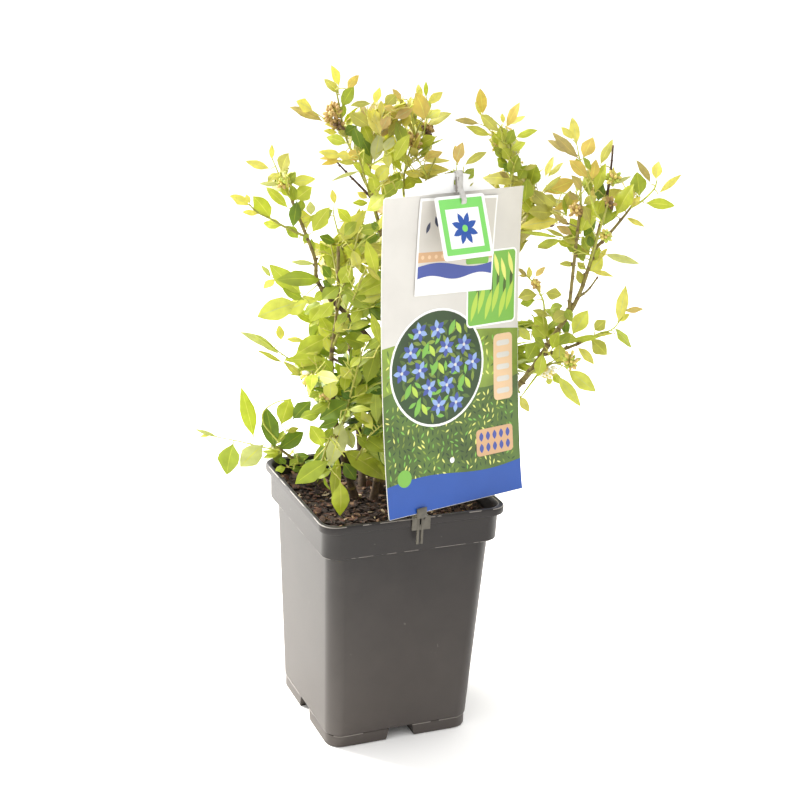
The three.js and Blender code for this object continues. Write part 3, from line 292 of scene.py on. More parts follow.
# Sprays: name, limb, share of its length, tip, reach, shoots, leaf length, lift and tone
SPRAYS = [
    ("spray_top_left", "cane_left_centre", 1, (-43, 14, 503), 30, 4, 29, 0.5, "tip"),
    ("spray_top_left_spur", "cane_left_centre", 0.96, (-68, 5, 485), 20, 1, 27, 0.3, "tip"),
    ("spray_top_centre", "cane_centre", 1, (-8, 6, 491), 30, 4, 30, 0.5, "tip"),
    ("spray_top_centre_right", "cane_centre_top", 1, (30, 16, 488), 30, 4, 30, 0.5, "tip"),
    ("spray_top_middle", "cane_centre", 0.88, (-37, -13, 469), 26, 3, 29, 0.4, "tip"),
    ("spray_top_centre_low", "cane_centre_top", 0.9, (29, -8, 458), 24, 3, 29, 0.2, "high"),
    ("spray_small_centre", "bough_small_centre", 1, (38, -35, 463), 14, 0, 19, 0.6, "high"),
    ("spray_mid_right", "cane_mid_right", 1, (80, 3, 490), 28, 4, 28, 0.6, "tip"),
    ("spray_mid_right_low", "cane_mid_right", 0.84, (128, 0, 429), 26, 3, 30, 0.3, "high"),
    ("spray_right_fork", "bough_right_fork", 1, (108, -72, 475), 28, 3, 30, 0.5, "tip"),
    ("spray_right_top", "cane_right", 1, (139, -66, 456), 24, 3, 28, 0.5, "tip"),
    ("spray_right_top_low", "cane_right", 0.86, (122, -107, 440), 24, 3, 29, 0.3, "high"),
    ("spray_far_right", "bough_far_right", 1, (182, -67, 437), 24, 3, 29, 0.3, "tip"),
    ("spray_right_inner", "cane_right", 0.72, (119, -38, 412), 26, 3, 29, 0.3, "high"),
    ("spray_right_low_left", "cane_right", 0.56, (116, -26, 344), 24, 3, 31, 0.3, "middle"),
    ("spray_right_low", "cane_right", 0.44, (116, -87, 315), 28, 4, 34, -0.1, "middle"),
    ("spray_right_low_right", "bough_right_low", 1, (170, -55, 337), 22, 2, 28, 0.2, "middle"),
    ("spray_left_upper", "cane_left", 1, (-82, 24, 445), 28, 3, 30, 0.4, "high"),
    ("spray_left_spur", "cane_left", 0.86, (-111, 15, 422), 24, 2, 30, 0.1, "high"),
    ("spray_upper_mid", "cane_left_centre", 0.72, (-32, -25, 426), 28, 3, 31, 0.4, "high"),
    ("spray_upper_left_mid", "cane_left_centre", 0.8, (-43, 42, 422), 24, 2, 28, 0.4, "high"),
    ("spray_left_mid", "cane_left", 0.64, (-92, 0, 371), 28, 3, 32, 0.2, "middle"),
    ("spray_mid", "cane_left_centre", 0.55, (-38, -45, 386), 28, 3, 32, 0.4, "middle"),
    ("spray_left_mid_low", "cane_left", 0.5, (-76, 56, 333), 28, 3, 32, 0.1, "middle"),
    ("spray_left_low", "cane_left_centre", 0.42, (-81, 19, 308), 26, 3, 33, 0.1, "middle"),
    ("spray_left_low_front", "cane_left_centre", 0.3, (-76, -39, 309), 28, 4, 33, 0.2, "middle"),
    ("spray_mid_low", "cane_left_centre", 0.2, (-39, -46, 325), 30, 4, 34, 0.3, "low"),
    ("spray_mid_low_back", "cane_left", 0.2, (-13, 38, 255), 28, 3, 34, 0.3, "low"),
    ("spray_low_left", "cane_low_left", 1, (-110, 47, 211), 26, 3, 35, -0.1, "low"),
    ("spray_low_left_up", "cane_low_left", 0.55, (-89, 36, 255), 26, 3, 36, 0.3, "low"),
    ("spray_low_centre", "bough_low_front", 1, (-66, -39, 237), 28, 3, 36, -0.3, "low"),
    ("spray_low_centre_right", "cane_left_centre", 0.08, (-28, -43, 258), 26, 3, 35, 0.1, "low"),
    ("spray_back_left_high", "cane_back_left", 1, (-14, 102, 384), 34, 4, 34, 0.4, "high"),
    ("spray_back_left_low", "bough_back_left", 1, (-38, 116, 285), 34, 3, 34, 0.2, "middle"),
    ("spray_back_centre", "cane_centre_top", 0.55, (41, 74, 371), 34, 3, 34, 0.4, "middle"),
    ("spray_back_right_high", "cane_back_right", 1, (118, 71, 388), 34, 4, 33, 0.4, "high"),
    ("spray_back_right_low", "cane_back_right", 0.5, (123, 52, 281), 32, 3, 34, 0.1, "middle"),
    ("spray_back_low", "cane_back_left", 0.3, (50, 89, 240), 32, 3, 35, 0.2, "low"),
]

# Where the crown is dense, as outlines in the pixels of the 800 pixel picture that the camera takes.
# Elsewhere only the key twigs and key leaves stand before the sky
MASSES = [
    [(345, 112), (372, 103), (395, 97), (415, 95), (432, 98), (436, 112), (430, 128), (440, 142),
     (438, 160), (430, 172), (415, 184), (400, 192), (388, 205), (375, 212), (368, 205), (372, 190),
     (358, 165), (350, 150), (342, 142), (335, 125)],
    [(268, 172), (285, 163), (296, 176), (310, 180), (304, 200), (302, 228), (288, 215), (272, 192)],
    [(318, 240), (336, 236), (348, 222), (362, 212), (362, 226), (384, 228), (384, 278), (354, 276),
     (376, 304), (384, 325), (386, 380), (392, 470), (345, 478), (318, 472), (300, 466), (322, 452),
     (318, 436), (324, 426), (310, 422), (318, 410), (308, 396), (300, 372), (296, 362), (300, 345),
     (318, 330), (306, 316), (322, 300), (322, 284), (318, 262)],
    [(262, 452), (275, 440), (288, 447), (300, 455), (318, 458), (330, 470), (318, 480), (296, 474),
     (282, 466)],
    [(492, 135), (500, 122), (515, 122), (521, 145), (520, 165), (536, 170), (540, 190), (560, 200),
     (575, 190), (583, 170), (590, 160), (602, 170), (606, 190), (612, 210), (620, 215), (612, 232),
     (600, 240), (596, 255), (600, 262), (592, 280), (580, 282), (574, 258), (560, 240), (540, 228),
     (524, 226), (517, 232), (516, 200), (518, 188), (505, 180), (498, 160)],
    [(522, 335), (518, 326), (532, 316), (548, 306), (556, 310), (575, 312), (585, 320), (580, 340),
     (570, 345), (566, 358), (575, 362), (562, 372), (550, 372), (545, 380), (535, 372), (524, 356)],
    [(612, 205), (616, 190), (632, 178), (640, 190), (636, 205), (620, 220)],
]
LABEL_COVER = [(381, 200), (400, 190), (430, 176), (455, 168), (480, 172), (500, 180), (524, 186),
               (518, 246), (518, 330), (522, 488), (392, 520)]
MASS_SHARE = 0.62

# How much of a limb shows where its end would stand bare, and stems from a limb through given pixels
LIMB_SHOWN = {"cane_left_centre": 0.87}
KEY_STEMS = {
    "spray_top_left": ("cane_centre",
                       [(373, 200), (362, 176), (352, 152), (345, 135), (339, 104), (336, 90)]),
    "spray_left_spur": ("cane_left", [(300, 241), (285, 227), (271, 219), (257, 212), (249, 204)]),
}

# Twigs that show by themselves or carry such leaves: spray, radius, bark and the pixels passed
KEY_TWIGS = [
    ("spray_top_left", 0.6, "green", [(345, 137), (327, 121), (313, 111)]),
    ("spray_top_middle", 1.1, "dark", [(370, 197), (360, 186), (347, 173), (335, 160)]),
    ("spray_left_upper", 0.8, "green", [(291, 204), (283, 186), (277, 170), (272, 158)]),
    ("spray_upper_left_mid", 0.7, "green", [(342, 230), (334, 216), (334, 205)]),
    ("spray_left_low", 0.7, "green", [(302, 374), (282, 354), (268, 343), (256, 335)]),
    ("spray_left_mid", 0.6, "green", [(322, 284), (309, 292), (297, 302)]),
    ("spray_left_mid", 0.5, "green", [(318, 283), (296, 282), (273, 278)]),
    ("spray_low_left_up", 0.6, "green", [(278, 446), (285, 434), (292, 420)]),
    ("spray_mid_right_low", 0.6, "green", [(532, 212), (543, 218), (556, 212)]),
    ("spray_right_top_low", 0.5, "green", [(575, 236), (563, 239), (552, 235)]),
    ("spray_low_left", 0.7, "green", [(282, 452), (262, 447), (238, 441), (218, 437), (202, 431)]),
    ("spray_low_left_up", 0.9, "green", [(278, 440), (264, 424), (264, 411), (277, 402), (292, 399)]),
    ("spray_top_centre_right", 0.7, "green", [(424, 142), (426, 122), (428, 106), (426, 96)]),
    ("spray_mid_right", 0.9, "green", [(521, 190), (513, 166), (507, 146), (502, 129), (489, 116)]),
    ("spray_small_centre", 0.6, "green", [(461, 182), (457, 172), (456, 161)]),
    ("spray_right_fork", 0.8, "green", [(591, 204), (586, 180), (580, 160), (577, 145)]),
    ("spray_right_top", 1.3, "dark", [(606, 212), (608, 190), (611, 168), (613, 147)]),
    ("spray_far_right", 1.0, "green", [(631, 208), (642, 201), (654, 189), (657, 180)]),
    ("spray_right_top_low", 0.5, "green", [(562, 202), (549, 189), (546, 178)]),
    ("spray_right_low_left", 1.1, "brown", [(576, 300), (588, 290), (597, 278)]),
    ("spray_right_low_right", 0.8, "green", [(589, 338), (600, 333), (611, 330), (619, 322), (625, 311)]),
    ("spray_right_low_left", 0.9, "green", [(549, 320), (543, 300), (534, 284), (527, 276), (521, 269)]),
    ("spray_right_low", 0.4, "green", [(532, 341), (527, 330), (520, 317)]),
    ("spray_right_low", 1.0, "green", [(540, 374), (529, 386), (521, 397)]),
    ("spray_right_top_low", 0.5, "brown", [(572, 228), (563, 222), (552, 226)]),
    ("spray_right_low", 0.6, "green", [(548, 352), (557, 362), (568, 369)]),
    ("spray_right_inner", 0.5, "green", [(592, 273), (577, 266), (560, 264)]),
]

# Leaves that show by themselves, by spray: pixel of the root, of the tip, width and tint. The deep and dark
# tints of such leaves inside the crown are partly painted shade
KEY_LEAVES = {
    "spray_top_left": [
        (343, 118, 343, 103, 6, "leaf"), (336, 122, 322, 118, 6, "rose"),
        (339, 87, 331, 65, 7.5, "yellow"), (347, 89, 359, 75, 7.5, "orange"),
        (340, 95, 324, 79, 7.5, "olive"), (342, 107, 354, 86, 11, "leaf"),
        (313, 111, 296, 101, 9, "yellow"), (324, 122, 289, 107, 9, "mauve"),
        (372, 104, 350, 106, 5, "olive"), (370, 127, 349, 113, 12, "olive"),
        (347, 128, 324, 124, 6, "yellow"), (344, 135, 357, 126, 11, "deep"),
        (361, 150, 354, 127, 10, "deep"), (338, 133, 323, 131, 5, "yellow"),
        (349, 139, 338, 124, 9, "olive"),
    ],
    "spray_top_left_spur": [
        (341, 160, 321, 165, 5, "orange"), (357, 163, 338, 162, 5, "olive"),
        (351, 157, 337, 155, 8, "yellow"),
        (348, 144, 326, 137, 9, "lime"), (343, 156, 318, 152, 8, "yellow"),
        (341, 157, 319, 159, 5, "orange"), (347, 160, 360, 151, 12, "orange"),
    ],
    "spray_top_centre": [
        (382, 118, 381, 100, 6, "yellow"), (396, 190, 402, 180, 8, "leaf"),
        (374, 104, 380, 87, 6.5, "yellow"), (402, 100, 392, 89, 6, "rose"),
        (385, 107, 396, 95, 10, "olive"), (425, 121, 415, 93, 14, "orange"),
        (393, 163, 410, 134, 11, "lime"), (405, 150, 396, 122, 11, "leaf"),
        (388, 137, 402, 120, 10, "olive"), (394, 119, 413, 108, 9, "rose"),
        (397, 112, 384, 106, 6, "orange"), (402, 127, 411, 115, 8, "yellow"),
        (400, 172, 391, 186, 9, "leaf"), (404, 163, 396, 147, 9, "lime"),
    ],
    "spray_top_centre_right": [
        (428, 113, 429, 100, 5, "lime"),
        (426, 98, 426, 81, 4, "lime"), (427, 105, 443, 92, 8, "yellow"), (427, 125, 452, 113, 9, "olive"),
        (426, 119, 441, 110, 9, "bright"), (421, 101, 418, 84, 6, "yellow"),
        (424, 133, 416, 119, 8, "olive"), (421, 158, 430, 146, 7, "leaf"), (423, 112, 413, 102, 6, "olive"),
    ],
    "spray_top_middle": [
        (369, 203, 352, 203, 6, "lime"),
        (381, 136, 368, 109, 12, "yellow"), (374, 163, 380, 132, 12, "pale"),
        (391, 164, 375, 181, 12, "bright"), (386, 194, 367, 211, 16, "lime"),
        (372, 146, 362, 122, 10, "lime"), (371, 158, 361, 136, 9, "deep"), (373, 177, 352, 163, 9, "lime"),
        (377, 198, 371, 172, 11, "lime"), (381, 199, 399, 184, 12, "leaf"),
        (379, 127, 372, 108, 8, "yellow"), (381, 131, 391, 113, 9, "rose"), (372, 165, 359, 150, 9, "leaf"),
        (362, 171, 330, 182, 3, "pale"), (368, 199, 357, 192, 6, "yellow"), (379, 231, 371, 223, 8, "deep"),
        (389, 168, 386, 150, 9, "bright"), (384, 152, 394, 137, 9, "pale"),
    ],
    "spray_top_centre_low": [
        (417, 146, 436, 137, 10, "lime"), (422, 160, 443, 152, 9, "orange"),
        (422, 161, 451, 161, 5, "yellow"), (415, 171, 450, 170, 9, "yellow"),
        (414, 175, 438, 175, 8, "olive"), (405, 177, 423, 183, 8, "lime"), (402, 190, 417, 177, 10, "lime"),
        (403, 172, 424, 176, 8, "yellow"), (410, 168, 404, 154, 8, "bright"),
    ],
    "spray_small_centre": [
        (456, 162, 463, 142, 9, "rose"), (464, 166, 487, 152, 7, "olive"), (464, 181, 474, 168, 13, "leaf"),
        (458, 165, 455, 145, 8, "orange"), (461, 180, 469, 190, 5, "olive"),
        (464, 186, 474, 181, 6, "olive"),
    ],
    "spray_mid_right": [
        (483, 115, 480, 88, 10, "orange"), (480, 124, 454, 120, 6, "mauve"),
        (500, 133, 480, 114, 9, "olive"), (491, 136, 465, 126, 7, "olive"),
        (506, 128, 520, 102, 9, "orange"), (510, 125, 526, 116, 5, "yellow"),
        (503, 124, 502, 113, 4.5, "yellow"), (515, 138, 538, 130, 7, "lime"),
        (510, 151, 526, 142, 8, "lime"), (503, 146, 492, 133, 9, "lime"), (506, 158, 494, 147, 10, "leaf"),
        (508, 168, 497, 158, 9, "leaf"), (510, 175, 518, 154, 12, "leaf"), (522, 170, 538, 165, 5, "olive"),
        (521, 182, 482, 178, 11, "olive"), (482, 117, 475, 101, 3.5, "yellow"),
        (505, 142, 500, 126, 10, "lime"), (508, 145, 514, 129, 9, "leaf"), (511, 167, 521, 158, 7, "lime"),
        (510, 178, 499, 172, 5, "mauve"), (518, 180, 527, 165, 10, "leaf"),
        (527, 184, 500, 178, 9, "olive"), (507, 150, 498, 138, 8, "bright"),
        (511, 160, 502, 148, 9, "lime"), (512, 172, 503, 164, 8, "deep"),
    ],
    "spray_mid_right_low": [
        (530, 188, 536, 164, 15, "leaf"), (530, 190, 552, 211, 13, "olive"),
        (562, 220, 519, 227, 12, "yellow"), (524, 203, 527, 178, 12, "leaf"),
        (535, 215, 520, 196, 12, "lime"), (553, 214, 528, 212, 12, "olive"),
        (540, 207, 533, 188, 12, "yellow"), (541, 224, 521, 217, 10, "lime"),
    ],
    "spray_right_fork": [
        (591, 171, 583, 157, 6, "leaf"),
        (577, 145, 572, 117, 8.5, "yellow"), (573, 140, 561, 127, 6.5, "yellow"),
        (580, 160, 552, 132, 9, "mauve"), (570, 155, 547, 140, 6, "mauve"),
        (583, 159, 593, 137, 12, "orange"), (588, 178, 569, 160, 11, "orange"),
        (582, 191, 571, 175, 7, "mauve"), (582, 172, 576, 158, 7, "olive"),
    ],
    "spray_right_top": [
        (583, 238, 596, 219, 9, "deep"), (592, 248, 589, 236, 7, "deep"),
        (583, 205, 597, 196, 8, "olive"), (604, 216, 614, 205, 7, "leaf"),
        (600, 166, 613, 139, 7.5, "olive"), (595, 193, 606, 163, 10.5, "lime"),
        (588, 196, 589, 170, 10, "leaf"), (581, 233, 598, 200, 15, "lime"),
        (604, 226, 607, 208, 11, "leaf"), (601, 240, 612, 233, 9, "bright"),
        (588, 246, 592, 230, 9, "leaf"), (592, 180, 596, 159, 9, "orange"), (598, 202, 602, 180, 9, "deep"),
        (612, 186, 614, 166, 4, "yellow"), (612, 185, 632, 176, 4, "pale"),
        (590, 222, 584, 206, 8, "olive"), (596, 217, 604, 199, 9, "lime"),
    ],
    "spray_right_top_low": [
        (542, 193, 562, 175, 5, "olive"), (566, 238, 545, 229, 4, "olive"), (570, 226, 553, 214, 6, "mauve"),
        (545, 178, 554, 156, 6.5, "yellow"), (547, 178, 564, 162, 5.5, "olive"),
        (544, 193, 575, 180, 13, "orange"), (552, 210, 580, 200, 8, "orange"),
        (562, 240, 537, 246, 7.5, "lime"), (563, 213, 571, 190, 9, "olive"),
        (579, 200, 567, 193, 6, "mauve"), (560, 238, 519, 232, 4, "lime"), (557, 206, 543, 195, 9, "olive"),
        (566, 219, 563, 197, 4, "leaf"),
    ],
    "spray_far_right": [
        (622, 209, 604, 224, 6, "leaf"),
        (651, 184, 636, 160, 6.5, "mauve"), (656, 180, 659, 161, 9.5, "yellow"),
        (658, 194, 682, 174, 6, "yellow"), (640, 197, 637, 172, 14, "leaf"),
        (616, 216, 634, 184, 16, "lime"), (644, 203, 675, 206, 10, "lime"),
        (625, 217, 645, 227, 4.5, "yellow"), (630, 207, 641, 197, 6, "yellow"),
    ],
    "spray_right_inner": [
        (590, 252, 582, 236, 8, "leaf"), (571, 247, 558, 241, 7, "lime"), (598, 260, 608, 248, 5, "yellow"),
        (584, 262, 579, 250, 7, "leaf"), (586, 270, 577, 262, 6, "olive"),
        (560, 241, 537, 248, 8, "olive"), (588, 272, 603, 258, 14, "bright"),
        (603, 254, 640, 264, 7.5, "pale"), (590, 271, 614, 277, 5, "yellow"),
        (577, 266, 559, 264, 5, "olive"), (580, 240, 566, 226, 9, "leaf"), (578, 243, 562, 237, 8, "olive"),
        (583, 253, 566, 245, 9, "leaf"), (584, 258, 572, 247, 9, "leaf"), (590, 256, 580, 245, 8, "olive"),
        (592, 262, 600, 247, 8, "lime"), (584, 286, 577, 270, 8, "olive"), (581, 234, 570, 218, 9, "lime"),
        (573, 235, 556, 226, 7, "rose"),
    ],
    "spray_right_low_left": [
        (570, 312, 553, 322, 12, "olive"), (566, 308, 572, 322, 8, "leaf"),
        (535, 277, 546, 267, 5.5, "rose"), (527, 276, 517, 268, 4.5, "mauve"),
        (530, 279, 529, 266, 5, "yellow"), (545, 293, 562, 295, 10, "olive"),
        (538, 295, 518, 298, 14, "olive"), (549, 310, 563, 306, 10, "leaf"),
        (550, 317, 532, 310, 6.5, "olive"), (572, 336, 588, 310, 14, "bright"),
        (567, 337, 565, 318, 8, "deep"), (548, 340, 532, 324, 16, "lime"), (549, 330, 533, 317, 13, "lime"),
        (541, 292, 533, 279, 6, "orange"), (528, 277, 518, 276, 3, "mauve"),
        (553, 318, 560, 308, 7, "olive"), (536, 300, 520, 304, 8, "leaf"),
    ],
    "spray_right_low": [
        (552, 350, 559, 332, 9, "lime"), (562, 364, 578, 366, 7, "bright"), (552, 372, 560, 384, 7, "lime"),
        (580, 341, 556, 338, 9, "lime"), (557, 346, 570, 334, 9, "leaf"),
        (560, 342, 559, 366, 13, "bright"), (577, 347, 594, 365, 8, "yellow"),
        (567, 369, 596, 392, 14, "bright"), (556, 374, 581, 407, 10.5, "bright"),
        (543, 352, 538, 377, 11, "lime"), (538, 340, 527, 360, 13, "leaf"),
        (519, 396, 529, 412, 8, "yellow"), (531, 341, 519, 328, 9, "bright"),
        (549, 376, 549, 385, 6, "bright"), (545, 347, 534, 338, 11, "leaf"),
        (561, 350, 571, 364, 8, "yellow"),
    ],
    "spray_right_low_right": [
        (604, 336, 566, 342, 6, "lime"), (617, 322, 630, 314, 6, "yellow"),
        (618, 323, 626, 285, 10, "yellow"), (624, 311, 644, 309, 5.5, "rose"),
        (594, 331, 606, 320, 13, "olive"), (614, 328, 632, 348, 9, "lime"),
        (590, 339, 607, 355, 12, "olive"), (615, 334, 595, 336, 4, "olive"),
    ],
    "spray_left_upper": [
        (294, 202, 290, 184, 8, "leaf"), (314, 255, 311, 238, 5, "leaf"),
        (289, 209, 266, 187, 9, "lime"), (300, 213, 302, 199, 8, "leaf"),
        (272, 160, 272, 144, 5, "yellow"), (271, 169, 245, 161, 7, "yellow"),
        (281, 173, 289, 153, 11, "olive"), (290, 183, 316, 179, 10, "bright"),
        (295, 200, 312, 187, 14, "lime"), (280, 185, 259, 184, 5, "pale"), (297, 200, 293, 227, 11, "deep"),
        (307, 230, 300, 209, 12, "bright"), (304, 244, 308, 233, 6, "leaf"),
        (320, 250, 314, 242, 5, "bright"), (288, 197, 281, 185, 7, "lime"), (286, 186, 296, 172, 8, "leaf"),
    ],
    "spray_left_spur": [
        (250, 206, 229, 196, 9, "yellow"), (250, 204, 246, 194, 4.5, "yellow"),
        (271, 219, 253, 196, 14, "lime"), (259, 214, 242, 212, 5.5, "yellow"),
        (283, 226, 263, 223, 8, "lime"), (299, 239, 285, 226, 9, "leaf"),
    ],
    "spray_upper_mid": [
        (377, 278, 366, 240, 12, "lime"), (342, 247, 362, 256, 10, "lime"),
        (352, 249, 360, 271, 9, "bright"), (357, 232, 380, 228, 11, "leaf"),
        (364, 265, 380, 281, 5, "olive"), (356, 262, 368, 276, 7, "lime"), (364, 243, 378, 234, 10, "deep"),
    ],
    "spray_upper_left_mid": [
        (312, 233, 330, 207, 13, "lime"), (335, 205, 332, 189, 5.5, "yellow"),
        (311, 216, 310, 201, 8, "pale"), (352, 223, 337, 208, 9, "lime"),
        (338, 243, 367, 210, 14, "bright"), (336, 243, 319, 236, 9, "deep"),
        (351, 235, 337, 229, 6, "pale"), (322, 219, 333, 210, 8, "leaf"), (308, 222, 319, 214, 5, "lime"),
        (344, 236, 357, 222, 9, "leaf"),
    ],
    "spray_left_mid": [
        (309, 302, 283, 312, 14, "bright"), (304, 300, 282, 288, 10, "leaf"),
        (333, 287, 322, 281, 9, "deep"), (331, 285, 332, 273, 8, "leaf"),
        (328, 270, 340, 245, 18, "lime"), (316, 264, 290, 262, 5, "pale"), (271, 278, 261, 265, 5, "pale"),
        (303, 295, 269, 264, 16, "lime"), (323, 280, 276, 280, 14, "leaf"),
        (298, 302, 257, 317, 20, "bright"), (340, 286, 322, 300, 15, "leaf"),
        (328, 290, 314, 300, 9, "lime"), (331, 278, 322, 266, 9, "deep"), (276, 279, 263, 289, 7, "yellow"),
        (322, 302, 304, 314, 10, "leaf"), (318, 301, 299, 300, 7, "bright"),
    ],
    "spray_mid": [
        (340, 295, 353, 285, 8, "leaf"), (372, 338, 356, 340, 8, "lime"),
        (344, 290, 370, 308, 14, "leaf"), (340, 284, 352, 265, 14, "lime"),
        (366, 385, 377, 349, 16, "leaf"), (345, 288, 354, 276, 9, "leaf"), (334, 301, 320, 318, 12, "lime"),
        (372, 305, 357, 318, 10, "leaf"), (368, 308, 381, 321, 9, "deep"), (331, 335, 320, 316, 11, "lime"),
        (334, 333, 349, 318, 12, "bright"), (351, 324, 362, 308, 10, "lime"),
        (380, 345, 371, 313, 9, "lime"), (341, 338, 366, 346, 14, "leaf"), (361, 356, 350, 368, 8, "lime"),
        (347, 312, 338, 324, 9, "leaf"),
    ],
    "spray_left_mid_low": [
        (318, 324, 292, 309, 10, "lime"),
        (281, 356, 239, 332, 8, "pale"), (284, 364, 256, 350, 4.5, "olive"),
        (281, 341, 279, 325, 8, "yellow"), (305, 341, 286, 339, 5, "yellow"),
        (294, 356, 328, 337, 18, "lime"), (326, 303, 310, 322, 11, "lime"), (321, 326, 305, 311, 9, "leaf"),
        (324, 313, 309, 327, 8, "lime"), (330, 338, 318, 326, 9, "bright"),
    ],
    "spray_left_low": [
        (332, 354, 324, 337, 9, "bright"), (303, 378, 283, 361, 6, "olive"),
        (328, 359, 283, 360, 9, "lime"), (330, 367, 290, 375, 10, "leaf"),
        (318, 352, 300, 367, 11, "bright"),
    ],
    "spray_left_low_front": [
        (330, 400, 331, 380, 15, "bright"), (321, 392, 308, 397, 7, "leaf"),
        (333, 372, 322, 360, 9, "leaf"),
    ],
    "spray_mid_low": [
        (322, 413, 300, 418, 10, "leaf"), (352, 356, 361, 346, 8, "lime"),
        (330, 402, 310, 413, 9, "leaf"), (333, 427, 322, 444, 9, "leaf"), (338, 355, 347, 342, 10, "leaf"),
        (324, 447, 310, 425, 14, "lime"), (350, 401, 319, 420, 19, "deep"), (333, 338, 346, 342, 7, "leaf"),
        (332, 352, 344, 352, 8, "leaf"), (336, 356, 353, 368, 8, "deep"),
        (352, 380, 340, 367, 10, "bright"), (344, 392, 346, 372, 10, "lime"),
        (356, 388, 356, 366, 11, "leaf"), (354, 398, 368, 384, 10, "lime"), (352, 399, 341, 390, 9, "dark"),
        (377, 425, 376, 388, 10, "leaf"), (340, 420, 318, 428, 8, "deep"),
    ],
    "spray_low_left": [
        (280, 453, 262, 452, 6, "lime"),
        (234, 442, 227, 475, 18, "leaf"), (264, 444, 240, 467, 18, "pale"), (219, 438, 194, 429, 4, "pale"),
        (212, 435, 199, 437, 3, "yellow"), (280, 454, 263, 458, 6, "lime"), (286, 467, 275, 471, 7, "leaf"),
        (286, 465, 279, 458, 6, "deep"), (289, 466, 298, 459, 7, "leaf"), (290, 468, 302, 470, 6, "deep"),
        (290, 459, 309, 456, 9, "deep"),
    ],
    "spray_low_left_up": [
        (279, 444, 284, 430, 7, "leaf"),
        (254, 439, 241, 387, 13, "lime"), (275, 450, 266, 407, 16, "deep"),
        (281, 426, 290, 398, 15, "lime"), (292, 420, 311, 401, 14, "deep"),
        (278, 450, 304, 432, 16, "deep"), (286, 432, 299, 428, 5, "olive"),
    ],
    "spray_low_centre": [
        (330, 460, 295, 484, 17, "leaf"), (340, 480, 340, 516, 14, "lime"),
        (333, 470, 316, 478, 8, "leaf"),
    ],
    "spray_low_centre_right": [
        (347, 428, 353, 449, 10, "pale"),
        (343, 420, 330, 466, 20, "pale"), (341, 450, 385, 479, 19, "lime"),
        (366, 452, 384, 432, 14, "leaf"), (372, 424, 353, 414, 10, "lime"),
        (373, 430, 361, 411, 10, "bright"), (362, 434, 383, 426, 11, "dark"),
        (356, 436, 372, 450, 9, "leaf"), (364, 438, 384, 452, 13, "leaf"), (338, 455, 333, 500, 9, "lime"),
        (343, 462, 356, 480, 12, "deep"),
    ],
}

# Clusters of flower buds and open bells: spray, middle, radius in pixels and kind
CLUSTERS = [
    ("spray_top_left", (333, 112), 11, "brown"),
    ("spray_top_left", (338, 124), 6, "dark"),
    ("spray_top_centre", (413, 141), 8, "brown"),
    ("spray_top_centre_right", (428, 130), 5, "dark"),
    ("spray_left_upper", (284, 183), 6, "green"),
    ("spray_right_fork", (577, 210), 8, "brown"),
    ("spray_right_top", (610, 203), 4, "dark"),
    ("spray_right_top", (613, 178), 6, "green"),
    ("spray_right_top", (606, 236), 6, "green"),
    ("spray_right_low", (570, 361), 9, "green"),
    ("spray_right_low", (548, 370), 7, "white"),
    ("spray_left_low_front", (310, 379), 10, "white"),
    ("spray_left_low_front", (322, 398), 5, "green"),
    ("spray_right_low_left", (536, 284), 3, "brown"),
]

# The growing rule
LIMB_STEPS = 12
STEM_STEPS = 3
STEM_MIDDLE = 0.6
STEM_BEND = 0.4
STEM_DROOP = 8
FIRST_SEED = 1000
SEED_STEP = 77
STEM_RADII = (1.1, 0.6)
SHOOT_RADII = (0.8, 0.4)
TWIG_RADII = (0.5, 0.3)
SHOOT_STEP_LENGTH = 5.0
RULE_STEP_LENGTH = 15.0
SHOOT_ANGLES = (math.radians(68), math.radians(38))
SHOOT_LIFT = 0.16
SHOOT_START = 0.08
SHOOT_SPAN = 0.8
SHOOT_SHORTEST = 6
SHOOT_MARGIN = 0.6
TWIG_SHORTEST = 4
TWIG_SHARES = (0.4, 0.75)
TWIG_ANGLE = 0.8
STEM_TWIGS = 4
STEM_TWIG_START = 0.25
STEM_TWIG_STEP = 0.22
STEM_TWIG_ANGLE = 0.9
SHOWN_LEAST = 0.2
LEAF_SPACING = 5.6
LEAF_SIZE = 1.02
LEAF_SIZE_SPREAD = 0.38
LEAF_WIDTH_SHARE = 0.32
LEAF_TRIES = 8
TRY_SHORTENED = 0.05
TRY_TURNED = 1.1
LEAF_ROLL = 1.7
LEAF_OUTWARD = 0.8
LEAF_GAP = 1.2
LEAF_TOUCHES = 2
TIP_LEAF_LEAN = 0.14
TIP_LEAF_SIZE = 0.62
LEAF_LIFT = 0.18
LEAF_WIDEST = 0.45
ROSETTE_LEAVES = 4
ROSETTE_SPACING = 2.0
PROBE_STEP = 0.14
PROBE_COLUMNS = 3
KEY_PROBE_STEP = 0.06
KEY_PROBE_COLUMNS = 5
CROWN_MIDDLE = (35.0, 5.0)
PETIOLE_RADIUS = 0.35
PETIOLE_REACH = 1.2
DEPTH_COST = 0.3
KEY_WIDENED = 1.16
KEY_WIDEST_SHARE = 0.4
KEY_DEPTH_SWAY = 0.8
KEY_FACING_EYE = 0.8
KEY_FACING_UP = 0.45
KEY_FACING_WANDER = 0.7
KEY_TURNED_AWAY = 0.5
TWIG_DEPTH_SWAY = 0.7
CLUSTER_LEAST = 8
CLUSTER_GROWTH = 3.2
BELL_SIZE = 1.2
BELL_DROOP = 0.9
BUD_RISE = 0.3
BACK_SHOOTS = 3
VIEW_CELL = 3.0
NEARLY_ALONG = 0.9
LIMB_MARGIN = 1.0
RIM_MARGIN = 2.0
SOIL_MARGIN = 2.5
LABEL_SIDE_MARGIN = 3.0
LABEL_BACK_MARGIN = 2.5

# Leaves on stems, shoots and twigs: where they start, their size and how many end the twig
STEM_LEAVES = (0.16, 1.0, ROSETTE_LEAVES)
SHOOT_LEAVES = (0.3, 0.95, ROSETTE_LEAVES)
TWIG_LEAVES = (0.45, 0.88, 3)

